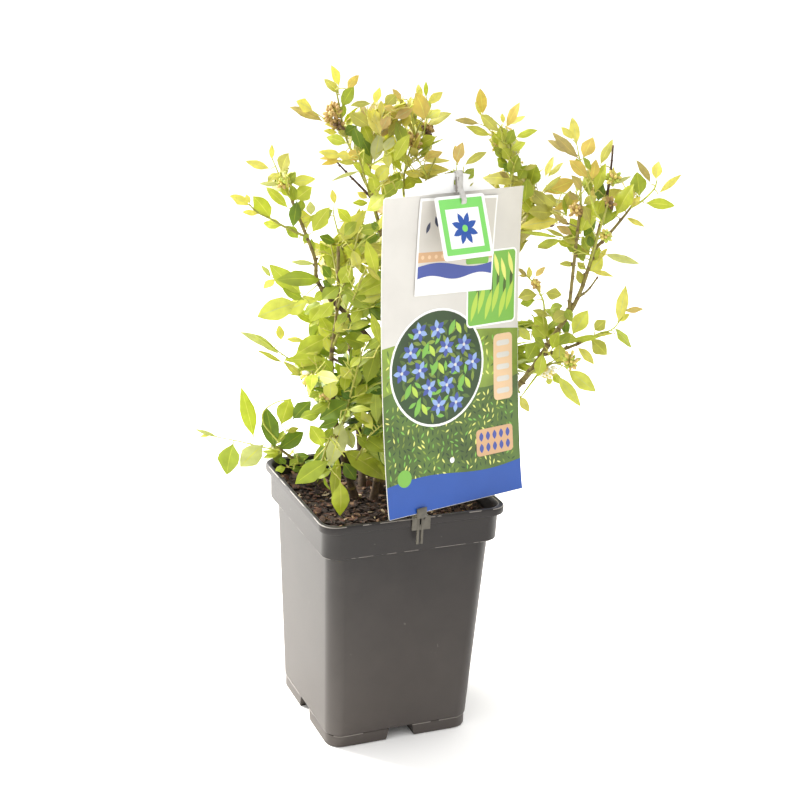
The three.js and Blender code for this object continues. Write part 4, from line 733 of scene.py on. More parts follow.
# Bark: rings along a limb, and the nodes on it
BARK_RING_STEP = 2.0
BARK_SIDES = 12
BARK_SUNK = 3.0
NODE_START = 9.0
NODE_END_GAP = 3
NODE_SPACING = 10.5
NODE_SHIFT = 1.5
NODE_REACH = 5
NODE_HALF_BAND = 0.9
TWIG_NODE_SPACING = 6.5
OLD_BARK_SHARE = 0.6

# Relief of the bark as shares of the radius: height, grain round the limb and grain along it of its
# ridges and flecks, then the swelling at a node, that under a bud, and how far both spread
RIDGE_HEIGHT = 0.09
RIDGE_GRAIN = 1.6
RIDGE_GRAIN_ALONG = 0.05
FLECK_HEIGHT = 0.05
FLECK_GRAIN = 3
FLECK_GRAIN_ALONG = 0.35
NODE_SWELL = 0.06
BUD_SWELL = 0.2
SWELL_SPREAD = 1.5

# Leaf colours, which of them each kind of spray has, and what each has for its midrib. The deep and dark
# tints, most of all on the low sprays, are partly the leaves' own deeper green and partly painted shade
# inside the crown
TINTS = {
    "lime": (206, 214, 78),
    "bright": (230, 230, 112),
    "leaf": (172, 186, 62),
    "deep": (122, 148, 44),
    "dark": (90, 124, 30),
    "yellow": (240, 230, 122),
    "orange": (230, 204, 108),
    "rose": (222, 194, 122),
    "mauve": (198, 180, 112),
    "olive": (204, 200, 100),
    "pale": (218, 220, 152),
}
TONES = {
    "tip": ["yellow", "bright", "orange", "lime", "yellow", "rose", "olive", "lime", "mauve", "pale"],
    "high": ["lime", "bright", "yellow", "leaf", "olive", "lime", "pale", "bright"],
    "middle": ["lime", "leaf", "lime", "bright", "deep", "lime", "leaf"],
    "low": ["lime", "leaf", "deep", "leaf", "deep", "dark"],
}
RIBS = {
    "lime": "bright", "bright": "pale", "leaf": "lime", "deep": "leaf", "dark": "deep", "yellow": "pale",
    "orange": "yellow", "rose": "pale", "mauve": "rose", "olive": "bright", "pale": "bright",
}
BACKS = {"tip": "back_young", "high": "back_young", "middle": "back_green", "low": "back_green"}
BACK_COLOURS = {"back_young": (208, 190, 110), "back_green": (186, 200, 96)}
BACK_GLOW = (186, 198, 60)
LEAF_THROUGH = 0.45
LEAF_SHADE = 0.86
LEAF_FINISH = (0.42, 160.0, 0.25, 900.0)

# Surfaces: name, two tones, roughness, grain of the tones, strength and grain of the relief
POT_PLASTIC = ("pot_plastic", (38, 34, 33), (33, 30, 29), 0.42, 18.0, 0.12, 1400.0)
# Painted bounce light: the lighter colour the pot's plastic takes toward its foot
POT_PAINTED_BOUNCE = (70, 64, 60)
# The pale colour of the scuffs, and of the edge lines that are partly wear and partly painted highlight
POT_WEAR_AND_HIGHLIGHT = (128, 122, 116)
POT_SHEEN = 0.32
PEAT = [
    ("peat", (54, 38, 28), (26, 18, 12), 0.95, 300.0, 0.9, 500.0),
]
CHIP_BARKS = [
    ("chip_dark", (50, 36, 28), (25, 17, 13), 0.9, 250.0, 0.8, 700.0),
    ("chip_brown", (76, 54, 40), (44, 30, 21), 0.9, 250.0, 0.8, 700.0),
    ("chip_red", (96, 62, 44), (58, 36, 26), 0.85, 250.0, 0.8, 700.0),
    ("chip_tan", (134, 104, 76), (92, 68, 48), 0.85, 250.0, 0.8, 700.0),
    ("chip_pale", (206, 188, 156), (160, 138, 106), 0.85, 250.0, 0.8, 700.0),
]
STRAP_FILMS = [
    ("strap_film", (196, 194, 190), (168, 165, 160), 0.3, 260.0, 0.2, 600.0),
    ("strap_fold", (132, 126, 120), (104, 98, 92), 0.35, 260.0, 0.2, 600.0),
]
CLIP_PLASTIC = ("clip_plastic", (88, 83, 72), (72, 68, 58), 0.35, 200.0, 0.1, 600.0)
FLOOR_PAPER = ("floor_paper", (254, 253, 251), (252, 251, 249), 0.9, 3.0, 0.0, 600.0)
LIMB_BARKS = [
    ("bark_old", (86, 68, 46), (54, 41, 28), 0.85, 400.0, 0.7, 900.0),
    ("bark_young", (128, 116, 54), (96, 84, 40), 0.7, 300.0, 0.5, 900.0),
    ("bark_node", (112, 96, 48), (84, 70, 36), 0.8, 400.0, 0.5, 900.0),
]
TWIG_BARKS = [
    ("twig_green", (150, 152, 56), (122, 118, 46), 0.6, 300.0, 0.3, 900.0),
    ("twig_fresh", (176, 184, 66), (152, 156, 58), 0.55, 300.0, 0.3, 900.0),
    ("twig_soft", (188, 190, 84), (166, 156, 70), 0.55, 300.0, 0.3, 900.0),
    ("twig_dark", (72, 50, 36), (46, 32, 24), 0.8, 400.0, 0.5, 900.0),
    ("twig_brown", (132, 122, 74), (104, 92, 54), 0.8, 400.0, 0.5, 900.0),
]
BLOOMS = [
    ("bud_scale", (112, 86, 52), (78, 58, 36), 0.6, 600.0, 0.4, 900.0),
    ("bud_brown", (180, 150, 84), (146, 116, 62), 0.55, 600.0, 0.3, 900.0),
    ("bud_rose", (210, 184, 112), (184, 154, 90), 0.5, 600.0, 0.3, 900.0),
    ("bud_yellow", (214, 200, 104), (190, 172, 84), 0.5, 600.0, 0.3, 900.0),
    ("bud_green", (178, 190, 70), (150, 164, 56), 0.5, 600.0, 0.3, 900.0),
    ("bell_white", (244, 240, 224), (232, 226, 206), 0.5, 600.0, 0.2, 900.0),
]

# The rows of the tables of limb barks, twig barks and blooms, for the faces that show them
OLD_BARK, YOUNG_BARK, NODE_BARK = range(3)
STEM_GREEN, FRESH_GREEN, SOFT_GREEN, DARK_TWIG, BROWN_TWIG = range(5)
SCALE, BROWN, ROSE, YELLOW, GREEN, WHITE = range(6)
TWIG_KINDS = {"dark": DARK_TWIG, "brown": BROWN_TWIG}

# The shades of the flowers in each kind of cluster
CLUSTER_KINDS = {
    "brown": (BROWN, ROSE, YELLOW, BROWN),
    "dark": (SCALE, BROWN, SCALE, BROWN),
    "green": (YELLOW, GREEN, ROSE, GREEN),
    "white": (WHITE, WHITE, YELLOW, WHITE),
}

# The label's inks, each with a second tone that is a share of the first, lower on the grounds
INKS = {
    "cream": (208, 205, 199), "white": (242, 242, 241), "blue": (34, 78, 160), "meadow": (132, 156, 58),
    "olive": (84, 112, 44), "forest": (48, 74, 36), "sky": (140, 166, 214), "violet": (66, 82, 156),
    "fresh": (118, 176, 70), "lime": (176, 204, 76), "yellow": (222, 224, 120), "peach": (222, 190, 152),
    "tan": (204, 164, 124), "pearl": (206, 202, 194), "slate": (70, 74, 96), "mint": (122, 206, 100),
}
GROUND_INKS = ("meadow", "olive", "forest")
GROUND_SHADE = 0.78
INK_SHADE = 0.97
INK_FINISH = (0.32, 40.0, 0.05, 500.0)

# Detail and range of every surface's tones, and detail and depth in metres of its relief
TONE_DETAIL = 4.0
TONE_RANGE = (0.32, 0.66)
RELIEF_DETAIL = 3.0
RELIEF_DEPTH = 0.0006


# ---- Camera ----

class Eye:
    """The camera's place and axes, to pass between places in the model and in the picture."""

    def __init__(self):
        yaw, pitch, roll = (math.radians(angle) for angle in (CAMERA_YAW, CAMERA_PITCH, CAMERA_ROLL))
        self.place = np.array(CAMERA_PLACE)
        self.back = np.array([math.sin(yaw) * math.cos(pitch),
                              -math.cos(yaw) * math.cos(pitch),
                              math.sin(pitch)])
        level = np.cross(UP, self.back)
        level /= np.linalg.norm(level)
        upright = np.cross(self.back, level)
        self.right = math.cos(roll) * level + math.sin(roll) * upright
        self.up = math.cos(roll) * upright - math.sin(roll) * level
        self.focal = PICTURE_WIDTH * CAMERA_LENS / CAMERA_SENSOR

    def seen(self, places):
        """The pixels at which places show."""
        offsets = places - self.place
        depths = -(offsets @ self.back)
        across = PICTURE_WIDTH / 2 + self.focal * (offsets @ self.right) / depths
        down = PICTURE_WIDTH / 2 - self.focal * (offsets @ self.up) / depths
        return np.stack([across, down], -1)

    def sight(self, spot):
        """The direction in which a pixel is seen."""
        across = (spot[0] - PICTURE_WIDTH / 2) / self.focal
        down = (spot[1] - PICTURE_WIDTH / 2) / self.focal
        return unit(self.right * across - self.up * down - self.back)

    def lifted(self, spot, wood, run):
        """The place at a pixel as far off as the wood that shows nearest to it, and that wood's place.

        Wood that lies about a run away is preferred.
        """
        sight = self.sight(spot)
        offsets = wood - self.place
        runs = offsets @ sight
        gaps = np.linalg.norm(offsets - runs[:, None] * sight, axis=1)
        nearest = int((gaps + DEPTH_COST * np.abs(runs - run)).argmin())
        return self.place + sight * runs[nearest], wood[nearest]


def inside_outline(spots, outline):
    """True for each pixel inside an outline."""
    across, down = spots.T
    inside = np.zeros(len(spots), bool)
    for (u0, v0), (u1, v1) in zip(outline, outline[1:] + outline[:1]):
        if v0 != v1:
            crossing = u0 + (down - v0) * (u1 - u0) / (v1 - v0)
            inside ^= ((v0 > down) != (v1 > down)) & (across < crossing)
    return inside


# ---- Meshes ----

class Heap:
    """Small closed shapes on their way into one mesh."""

    def __init__(self):
        self.places = []
        self.faces = []
        self.shades = []
        self.count = 0

    def add(self, places, faces, shade):
        places = np.asarray(places, float).reshape(-1, 3)
        self.places.append(places)
        self.faces.extend(tuple(corner + self.count for corner in face) for face in faces)
        self.shades.extend([shade] * len(faces) if isinstance(shade, int) else shade)
        self.count += len(places)


def mesh_of(name, heap):
    mesh = bpy.data.meshes.new(name)
    mesh.from_pydata((np.vstack(heap.places) * MM).tolist(), [], heap.faces)
    return mesh


def smooth(mesh, crease):
    """Shades a mesh smooth but for the edges that are sharper than the crease."""
    mesh.polygons.foreach_set("use_smooth", [True] * len(mesh.polygons))
    mesh.set_sharp_from_angle(angle=math.radians(crease))


def linked(name, data):
    """An object of the scene."""
    thing = bpy.data.objects.new(name, data)
    bpy.context.scene.collection.objects.link(thing)
    return thing


def piece_of(name, heap, materials, slot, replaced=(), crease=40.0):
    """The heap as one object that rides on the root body and stands for some of the CAD's nodes."""
    mesh = mesh_of(name, heap)
    for material in materials:
        mesh.materials.append(material)
    mesh.polygons.foreach_set("material_index", heap.shades)
    smooth(mesh, crease)
    mesh.update()
    piece = linked(name, mesh)
    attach(piece, "root")
    if replaced:
        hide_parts(*replaced)
    return piece


def loft(heap, rings, shade):
    """A closed body through rings that go anticlockwise seen from the last one."""
    rings = np.asarray(rings)
    count, sides = rings.shape[:2]
    faces = []
    for ring in range(count - 1):
        for side in range(sides):
            near = ring * sides + side
            far = ring * sides + (side + 1) % sides
            faces.append((near, far, far + sides, near + sides))
    faces.append(tuple(reversed(range(sides))))
    faces.append(tuple(range((count - 1) * sides, count * sides)))
    heap.add(rings, faces, shade)


def unit(vector):
    return vector / np.linalg.norm(vector)


def turned(vector, axis, angle):
    """The vector turned about a unit axis."""
    along = axis * (axis @ vector)
    return along + (vector - along) * math.cos(angle) + np.cross(axis, vector) * math.sin(angle)


def rings_round(points, radii, sides):
    """Rings of a tube along points, without twist."""
    points = np.asarray(points, float)
    headings = np.gradient(points, axis=0)
    angles = 2 * math.pi * np.arange(sides) / sides
    normal = np.array([1.0, 0.0, 0.0])
    if abs(unit(headings[0])[0]) > NEARLY_ALONG:
        normal = np.array([0.0, 1.0, 0.0])
    rings = []
    for point, heading, radius in zip(points, headings, radii):
        heading = unit(heading)
        normal = unit(normal - heading * (normal @ heading))
        across = np.cross(heading, normal)
        circle = np.outer(np.cos(angles), normal) + np.outer(np.sin(angles), across)
        rings.append(point + radius * circle)
    return np.array(rings)


BEAD_LATITUDES = np.radians([-80, -50, -18, 18, 50, 80])


def bead(heap, centre, axis, length, radius, shade, sides):
    """A small egg shape along an axis."""
    axis = unit(axis)
    points = [centre + axis * length / 2 * math.sin(latitude) for latitude in BEAD_LATITUDES]
    loft(heap, rings_round(points, radius * np.cos(BEAD_LATITUDES), sides), shade)


# ---- Materials ----

def linear(colour):
    """A display colour, nought to 255 a channel, as Blender's linear one."""
    shares = [channel / 255 for channel in colour]
    return (*[share / 12.92 if share < 0.04 else ((share + 0.055) / 1.055) ** 2.4 for share in shares], 1.0)


def shaded(colour, share):
    return tuple(channel * share for channel in colour)


def noise_node(nodes, links, place, scale, detail):
    """A noise over the object's own coordinates."""
    node = nodes.new("ShaderNodeTexNoise")
    node.inputs["Scale"].default_value = scale
    node.inputs["Detail"].default_value = detail
    links.new(place.outputs["Object"], node.inputs["Vector"])
    return node.outputs["Fac"]


def surface(name, colour, other, roughness, grain, bump, bump_grain):
    """A surface whose colour drifts between two tones, with a fine relief."""
    material = bpy.data.materials.new(name)
    material.use_nodes = True
    nodes = material.node_tree.nodes
    links = material.node_tree.links
    shader = nodes["Principled BSDF"]
    shader.inputs["Roughness"].default_value = roughness
    place = nodes.new("ShaderNodeTexCoord")
    drift = noise_node(nodes, links, place, grain, TONE_DETAIL)
    ramp = nodes.new("ShaderNodeValToRGB")
    for element, position, tone in zip(ramp.color_ramp.elements, TONE_RANGE, (other, colour)):
        element.position = position
        element.color = linear(tone)
    links.new(drift, ramp.inputs["Fac"])
    links.new(ramp.outputs["Color"], shader.inputs["Base Color"])
    relief = noise_node(nodes, links, place, bump_grain, RELIEF_DETAIL)
    raised = nodes.new("ShaderNodeBump")
    raised.inputs["Strength"].default_value = bump
    raised.inputs["Distance"].default_value = RELIEF_DEPTH
    links.new(relief, raised.inputs["Height"])
    links.new(raised.outputs["Normal"], shader.inputs["Normal"])
    return material


def surfaces(rows):
    return [surface(*row) for row in rows]


def math_node(nodes, links, operation, *values):
    """A Math node on values, each a number or a socket."""
    node = nodes.new("ShaderNodeMath")
    node.operation = operation
    for socket, value in zip(node.inputs, values):
        if isinstance(value, float):
            socket.default_value = value
        else:
            links.new(value, socket)
    return node.outputs["Value"]


def moulded(row, painted_bounce_colour, worn_and_highlit, edges):
    """Moulded plastic, painted lighter toward the foot as painted bounce light from the floor, pale along
    some edges as wear and painted highlight, and scuffed.
    """
    material = surface(*row)
    nodes = material.node_tree.nodes
    links = material.node_tree.links
    shader = nodes["Principled BSDF"]
    shader.inputs["Specular IOR Level"].default_value = POT_SHEEN
    place = nodes["Texture Coordinate"]
    height = nodes.new("ShaderNodeSeparateXYZ")
    links.new(place.outputs["Object"], height.inputs["Vector"])
    lines = []
    # Pale lines along the foot step, the lip and the collar: partly wear, partly painted highlight
    for edge, half in edges:
        off = math_node(nodes, links, "SUBTRACT", height.outputs["Z"], edge * MM)
        lines.append(math_node(nodes, links, "COMPARE", off, 0.0, half * MM))
    on_line = lines[0]
    for line in lines[1:]:
        on_line = math_node(nodes, links, "MAXIMUM", on_line, line)
    wear = noise_node(nodes, links, place, WEAR_GRAIN, WEAR_DETAIL)
    worn_highlight_lines = math_node(nodes, links, "GREATER_THAN", wear, WEAR_LEVEL)
    worn_highlight_lines = math_node(nodes, links, "MULTIPLY", on_line, worn_highlight_lines)
    specks = noise_node(nodes, links, place, SCUFF_GRAIN, SCUFF_DETAIL)
    scuffs = math_node(nodes, links, "GREATER_THAN", specks, SCUFF_LEVEL)
    scuffs = math_node(nodes, links, "MULTIPLY", scuffs, SCUFF_STRENGTH)
    amount = math_node(nodes, links, "MAXIMUM", worn_highlight_lines, scuffs)
    # Painted bounce light: the plastic turns lighter toward the foot
    wander = math_node(nodes, links, "MULTIPLY", wear, PAINTED_BOUNCE_WANDER)
    level = math_node(nodes, links, "ADD", height.outputs["Z"], wander)
    painted_bounce = nodes.new("ShaderNodeMapRange")
    painted_bounce.inputs["From Min"].default_value = PAINTED_BOUNCE_TOP
    painted_bounce.inputs["From Max"].default_value = PAINTED_BOUNCE_FOOT
    links.new(level, painted_bounce.inputs["Value"])
    below = nodes["Color Ramp"].outputs["Color"]
    for share, over in ((painted_bounce.outputs["Result"], painted_bounce_colour), (amount, worn_and_highlit)):
        mixed = nodes.new("ShaderNodeMix")
        mixed.data_type = "RGBA"
        mixed.inputs[7].default_value = linear(over)
        links.new(share, mixed.inputs[0])
        links.new(below, mixed.inputs[6])
        below = mixed.outputs[2]
    links.new(below, shader.inputs["Base Color"])
    return material


def leafy(name, colour, glow):
    """A leaf's surface: glossy skin over a blade that lets some light through."""
    material = surface(name, colour, shaded(colour, LEAF_SHADE), *LEAF_FINISH)
    nodes = material.node_tree.nodes
    links = material.node_tree.links
    lit = nodes.new("ShaderNodeBsdfTranslucent")
    lit.inputs["Color"].default_value = linear(glow)
    both = nodes.new("ShaderNodeMixShader")
    both.inputs["Fac"].default_value = LEAF_THROUGH
    links.new(nodes["Principled BSDF"].outputs["BSDF"], both.inputs[1])
    links.new(lit.outputs["BSDF"], both.inputs[2])
    links.new(both.outputs["Shader"], nodes["Material Output"].inputs["Surface"])
    return material


# ---- Pot and soil ----

def square_ring(width, height):
    """A square with round corners at a height."""
    ring = []
    for corner in range(4):
        side_x = 1 if corner in (0, 3) else -1
        side_y = 1 if corner < 2 else -1
        inset = width / 2 - CORNER_RADIUS
        for step in range(CORNER_STEPS + 1):
            angle = (corner + step / CORNER_STEPS) * math.pi / 2
            ring.append((side_x * inset + CORNER_RADIUS * math.cos(angle),
                         side_y * inset + CORNER_RADIUS * math.sin(angle), height))
    return ring


def carve(piece, tools):
    """Cuts the tools out of the piece and removes them."""
    for tool in tools:
        cut = piece.modifiers.new("cut", "BOOLEAN")
        cut.operation = "DIFFERENCE"
        cut.solver = "EXACT"
        cut.object = tool
    bpy.context.view_layer.update()
    whole = piece.evaluated_get(bpy.context.evaluated_depsgraph_get())
    mesh = bpy.data.meshes.new_from_object(whole)
    piece.modifiers.clear()
    piece.data = mesh
    for tool in tools:
        bpy.data.objects.remove(tool)


def channel(heap, side, wall, foot, outer_end):
    """The channel that runs in from one side's notch, larger by a wall."""
    low = NOTCH_FOOT_WIDTH / 2 + wall
    high = NOTCH_ROOF_WIDTH / 2 + wall
    roof = NOTCH_HEIGHT + wall
    outline = [(-low, foot), (low, foot), (high, roof), (-high, roof)]
    angle = side * math.pi / 2
    rings = []
    for out in (CHANNEL_INNER_END - wall, outer_end):
        rings.append([(x * math.cos(angle) + out * math.sin(angle),
                       x * math.sin(angle) - out * math.cos(angle), z) for x, z in outline])
    loft(heap, rings, 0)


def channel_tools():
    tools = []
    for side in range(4):
        heap = Heap()
        channel(heap, side, 0, -CUT_MARGIN, FOOT_WIDTH / 2 + CUT_MARGIN)
        tools.append(linked("channel", mesh_of("channel", heap)))
    return tools


def drain_tools():
    """The drain holes through the channels' roofs."""
    tools = []
    for side in range(4):
        angle = side * math.pi / 2
        centre = np.array([DRAIN_HOLE_PLACE * math.sin(angle), -DRAIN_HOLE_PLACE * math.cos(angle), 0])
        heap = Heap()
        ends = [centre + UP * (NOTCH_HEIGHT - CUT_MARGIN), centre + UP * (NOTCH_HEIGHT + WALL + CUT_MARGIN)]
        loft(heap, rings_round(ends, (DRAIN_HOLE_RADIUS,) * 2, 24), 0)
        tools.append(linked("drain", mesh_of("drain", heap)))
    return tools


def make_pot(material):
    """The pot with its notches, and the walls of the channels that run in from them."""
    heap = Heap()
    loft(heap, [square_ring(width, height) for width, height in POT_PROFILE], 0)
    pot = piece_of("nursery_pot", heap, [material], "pot", ["pot"], crease=32)
    carve(pot, channel_tools())
    housings = Heap()
    for side in range(4):
        channel(housings, side, WALL, 0.2, FOOT_WIDTH / 2 - WALL)
    housing = piece_of("pot_channels", housings, [material], "pot", crease=32)
    carve(housing, channel_tools())
    carve(housing, drain_tools())


def soil_height(x, y):
    """The soil's surface: low mounds, and a dip along the walls."""
    height = SOIL_TOP
    for rise, grain, layer in SOIL_WAVES:
        height += rise * noise.noise(Vector((x * grain, y * grain, layer)))
    edge = max(abs(x), abs(y)) / SOIL_HALF_WIDTH
    return height - SOIL_EDGE_DIP * max(0.0, edge - SOIL_EDGE)


def make_soil(materials):
    """A block of soil with an uneven top."""
    cells = SOIL_CELLS
    line = np.linspace(-SOIL_HALF_WIDTH, SOIL_HALF_WIDTH, cells + 1)
    inset = SOIL_HALF_WIDTH - CORNER_RADIUS
    top = []
    for y in line:
        for x in line:
            spot = np.array([x, y])
            beyond = np.maximum(np.abs(spot) - inset, 0)
            distance = np.linalg.norm(beyond)
            if distance > CORNER_RADIUS:
                spot = np.sign(spot) * (inset + beyond * CORNER_RADIUS / distance)
            top.append((*spot, soil_height(*spot)))
    faces = []
    for row in range(cells):
        for column in range(cells):
            near = row * (cells + 1) + column
            faces.append((near, near + 1, near + cells + 2, near + cells + 1))
    rim = list(range(cells + 1))
    rim += [row * (cells + 1) + cells for row in range(1, cells + 1)]
    rim += [cells * (cells + 1) + column for column in range(cells - 1, -1, -1)]
    rim += [row * (cells + 1) for row in range(cells - 1, 0, -1)]
    places = list(top)
    rings = [rim]
    for width, height in SOIL_SIDES:
        scale = (width / 2) / SOIL_HALF_WIDTH
        rings.append(list(range(len(places), len(places) + len(rim))))
        places += [(top[corner][0] * scale, top[corner][1] * scale, height) for corner in rim]
    for upper, lower in zip(rings, rings[1:]):
        for index in range(len(rim)):
            after = (index + 1) % len(rim)
            faces.append((upper[index], lower[index], lower[after], upper[after]))
    faces.append(tuple(reversed(rings[-1])))
    heap = Heap()
    heap.add(places, faces, 0)
    piece_of("soil_bed", heap, materials, "soil", ["soil"], crease=80)


def make_chips(materials):
    """Shards of bark and peat that lie on the soil, and a few fibres among them."""
    rng = np.random.default_rng(11)
    heap = Heap()
    reach = SOIL_HALF_WIDTH - CHIP_EDGE_GAP
    for _ in range(CHIPS):
        x, y = rng.uniform(-reach, reach, 2)
        length = rng.gamma(*CHIP_LENGTHS) + CHIP_SHORTEST
        width = length * rng.uniform(*CHIP_WIDTHS)
        room = reach + CHIP_OVERHANG - max(abs(x), abs(y))
        if length / 2 > room:
            length = 2.0 * room
            width = min(width, room)
        sides = int(rng.integers(5, 8))
        angles = 2 * math.pi * (np.arange(sides) + rng.uniform(-0.3, 0.3, sides)) / sides
        radii = rng.uniform(0.75, 1.1, sides)
        flat = np.stack([np.cos(angles) * radii * length / 2, np.sin(angles) * radii * width / 2], 1)
        thickness = rng.uniform(*CHIP_THICKNESSES)
        tilt_axis = unit(np.append(rng.normal(size=2), 0.0))
        tilt = rng.normal(0, CHIP_TILT)
        turn = rng.uniform(0, 2 * math.pi)
        centre = np.array([x, y, soil_height(x, y) + rng.uniform(*CHIP_LEVELS)])
        rings = []
        for level, share in CHIP_RINGS:
            ring = []
            for u, v in flat * share:
                lift = level * thickness + CHIP_CURVE * u * u / length
                spot = turned(np.array([u, v, lift]), UP, turn)
                ring.append(centre + turned(spot, tilt_axis, tilt))
            rings.append(ring)
        loft(heap, rings, CHIP_SHADES[rng.integers(len(CHIP_SHADES))])
    for _ in range(FIBRES):
        x, y = rng.uniform(-reach + FIBRE_EDGE_GAP, reach - FIBRE_EDGE_GAP, 2)
        heading = rng.uniform(0, 2 * math.pi)
        points = []
        for _ in FIBRE_RADII:
            points.append((x, y, soil_height(x, y) + 1.2 + rng.uniform(0, 0.9)))
            heading += rng.normal(0, 0.5)
            x += FIBRE_STEP * math.cos(heading)
            y += FIBRE_STEP * math.sin(heading)
        loft(heap, rings_round(points, FIBRE_RADII, 5), int(rng.integers(1, 4)))
    piece_of("soil_chips", heap, materials, "soil", crease=25)


# ---- Label ----

def rotation(axis, degrees):
    return np.array(Matrix.Rotation(math.radians(degrees), 3, axis))


LABEL_AXES = rotation("Z", LABEL_TURN) @ rotation("X", -LABEL_LEAN) @ rotation("Y", -LABEL_ROLL)


def from_label(places):
    return np.asarray(places, float) @ LABEL_AXES.T + np.array(LABEL_CORNER)


def to_label(places):
    return (np.asarray(places, float) - np.array(LABEL_CORNER)) @ LABEL_AXES


def hollow_at(height):
    """How far the card lies behind the straight line between its foot and its top."""
    share = np.clip(np.asarray(height, float) / LABEL_HEIGHT, 0, 1)
    return LABEL_HOLLOW * np.sin(math.pi * share) ** LABEL_HOLLOW_POWER


def on_card(flat):
    """Places on the card's front, given as right, back and up."""
    flat = np.array(flat, float)
    flat[:, 1] += hollow_at(flat[:, 2])
    return from_label(flat)


def on_booklet(flat):
    """Places on the booklet, from its own lower left corner."""
    flat = np.array(flat, float)
    angle = math.radians(-BOOKLET_TILT)
    right = flat[:, 0] * math.cos(angle) + flat[:, 2] * math.sin(angle)
    up = flat[:, 2] * math.cos(angle) - flat[:, 0] * math.sin(angle)
    return on_card(np.stack([right + BOOKLET_LEFT, flat[:, 1] + BOOKLET_FRONT, up + BOOKLET_BOTTOM], 1))


def on_tag(flat):
    """The tag's own frame: from the middle of its top edge, its foot swung out to the front."""
    flat = np.array(flat, float)
    flat[:, 1] -= TAG_THICKNESS
    return from_label(flat @ rotation("X", -TAG_SWING).T + np.array(TAG_TOP))


def slab(heap, outlines, front, thickness, placed, shade):
    """A thin closed plate of an outline and its holes, cut into rows so that it can bend."""
    mesh = bmesh.new()
    for outline in outlines:
        corners = [mesh.verts.new((u, v, 0)) for u, v in outline]
        for index, corner in enumerate(corners):
            mesh.edges.new((corner, corners[(index + 1) % len(corners)]))
    bmesh.ops.triangle_fill(mesh, use_beauty=True, use_dissolve=False, edges=mesh.edges[:])
    heights = [v for outline in outlines for _, v in outline]
    height = math.floor(min(heights) / BEND_ROW) * BEND_ROW + BEND_ROW
    while height < max(heights):
        everything = mesh.verts[:] + mesh.edges[:] + mesh.faces[:]
        bmesh.ops.bisect_plane(mesh, geom=everything, dist=1e-4, plane_co=(0, height, 0), plane_no=(0, 1, 0))
        height += BEND_ROW
    mesh.verts.index_update()
    flat = [(corner.co.x, corner.co.y) for corner in mesh.verts]
    count = len(flat)
    places = [(u, front, v) for u, v in flat] + [(u, front + thickness, v) for u, v in flat]
    faces = []
    for face in mesh.faces:
        corners = [corner.index for corner in face.verts]
        area = sum(flat[a][0] * flat[b][1] - flat[b][0] * flat[a][1]
                   for a, b in zip(corners, corners[1:] + corners[:1]))
        if area < 0:
            corners.reverse()
        faces.append(tuple(corners))
    edges = {(a, b) for corners in faces for a, b in zip(corners, corners[1:] + corners[:1])}
    rim = [(a, b) for a, b in edges if (b, a) not in edges]
    backs = [tuple(corner + count for corner in reversed(corners)) for corners in faces]
    walls = [(b, a, a + count, b + count) for a, b in rim]
    mesh.free()
    heap.add(placed(places), faces + backs + walls, shade)


def box_outline(left, bottom, width, height, radius=0.0):
    """A box, with round corners if a radius is given."""
    right = left + width
    top = bottom + height
    if not radius:
        return [(left, bottom), (right, bottom), (right, top), (left, top)]
    outline = []
    for corner, (x, y) in enumerate(((1, 1), (0, 1), (0, 0), (1, 0))):
        centre_x = left + (width - radius if x else radius)
        centre_y = bottom + (height - radius if y else radius)
        for step in range(ROUND_STEPS + 1):
            angle = (corner + step / ROUND_STEPS) * math.pi / 2
            outline.append((centre_x + radius * math.cos(angle), centre_y + radius * math.sin(angle)))
    return outline


def disc_outline(centre_x, centre_y, radius, steps=28):
    angles = 2 * math.pi * np.arange(steps) / steps
    return [(centre_x + radius * math.cos(angle), centre_y + radius * math.sin(angle)) for angle in angles]


def petal_outline(centre_x, centre_y, length, width, degrees, steps=7):
    """A pointed oval along a direction."""
    along = np.array([math.cos(math.radians(degrees)), math.sin(math.radians(degrees))])
    across = np.array([-along[1], along[0]])
    shares = np.linspace(0, 1, steps)
    corners = []
    for side, way in ((-1, shares), (1, shares[-2:0:-1])):
        for share in way:
            spread = side * (width / 2 * math.sin(math.pi * share))
            corners.append((share - 0.5) * length * along + spread * across)
    return [(centre_x + x, centre_y + y) for x, y in corners]


def wave_outline(left, right, bottom, height, swell, turns, steps=24):
    """A band with a level foot and a waved top."""
    top = []
    for step in range(steps + 1):
        share = 1 - step / steps
        top.append((left + (right - left) * share,
                    bottom + height + swell * math.sin(2 * math.pi * turns * share)))
    return [(left, bottom), (right, bottom)] + top


def tab_arch():
    """The arch over the card's top edge, from right to left."""
    middle = (TAB_LEFT + TAB_RIGHT) / 2
    half = (TAB_RIGHT - TAB_LEFT) / 2
    radius = (half ** 2 + TAB_RISE ** 2) / (2 * TAB_RISE)
    reach = math.asin(half / radius)
    arch = []
    for step in range(TAB_STEPS + 1):
        angle = reach * (1 - 2 * step / TAB_STEPS)
        arch.append((middle + radius * math.sin(angle),
                     LABEL_HEIGHT + TAB_RISE - radius * (1 - math.cos(angle))))
    return arch


def card_outline():
    """The card with its arched tab."""
    foot = [(LABEL_CHAMFER, 0), (LABEL_WIDTH - LABEL_CHAMFER, 0), (LABEL_WIDTH, LABEL_CHAMFER)]
    return [*foot, (LABEL_WIDTH, LABEL_HEIGHT), *tab_arch(), (0, LABEL_HEIGHT), (0, LABEL_CHAMFER)]


def printer(heap, inks, placed):
    """A function that prints outlines in an ink, each layer a little in front of the one under it."""
    names = list(inks)

    def ink(colour, layer, *outlines):
        slab(heap, outlines, -layer * PRINT_STEP, PRINT_THICKNESS, placed, names.index(colour))
    return ink


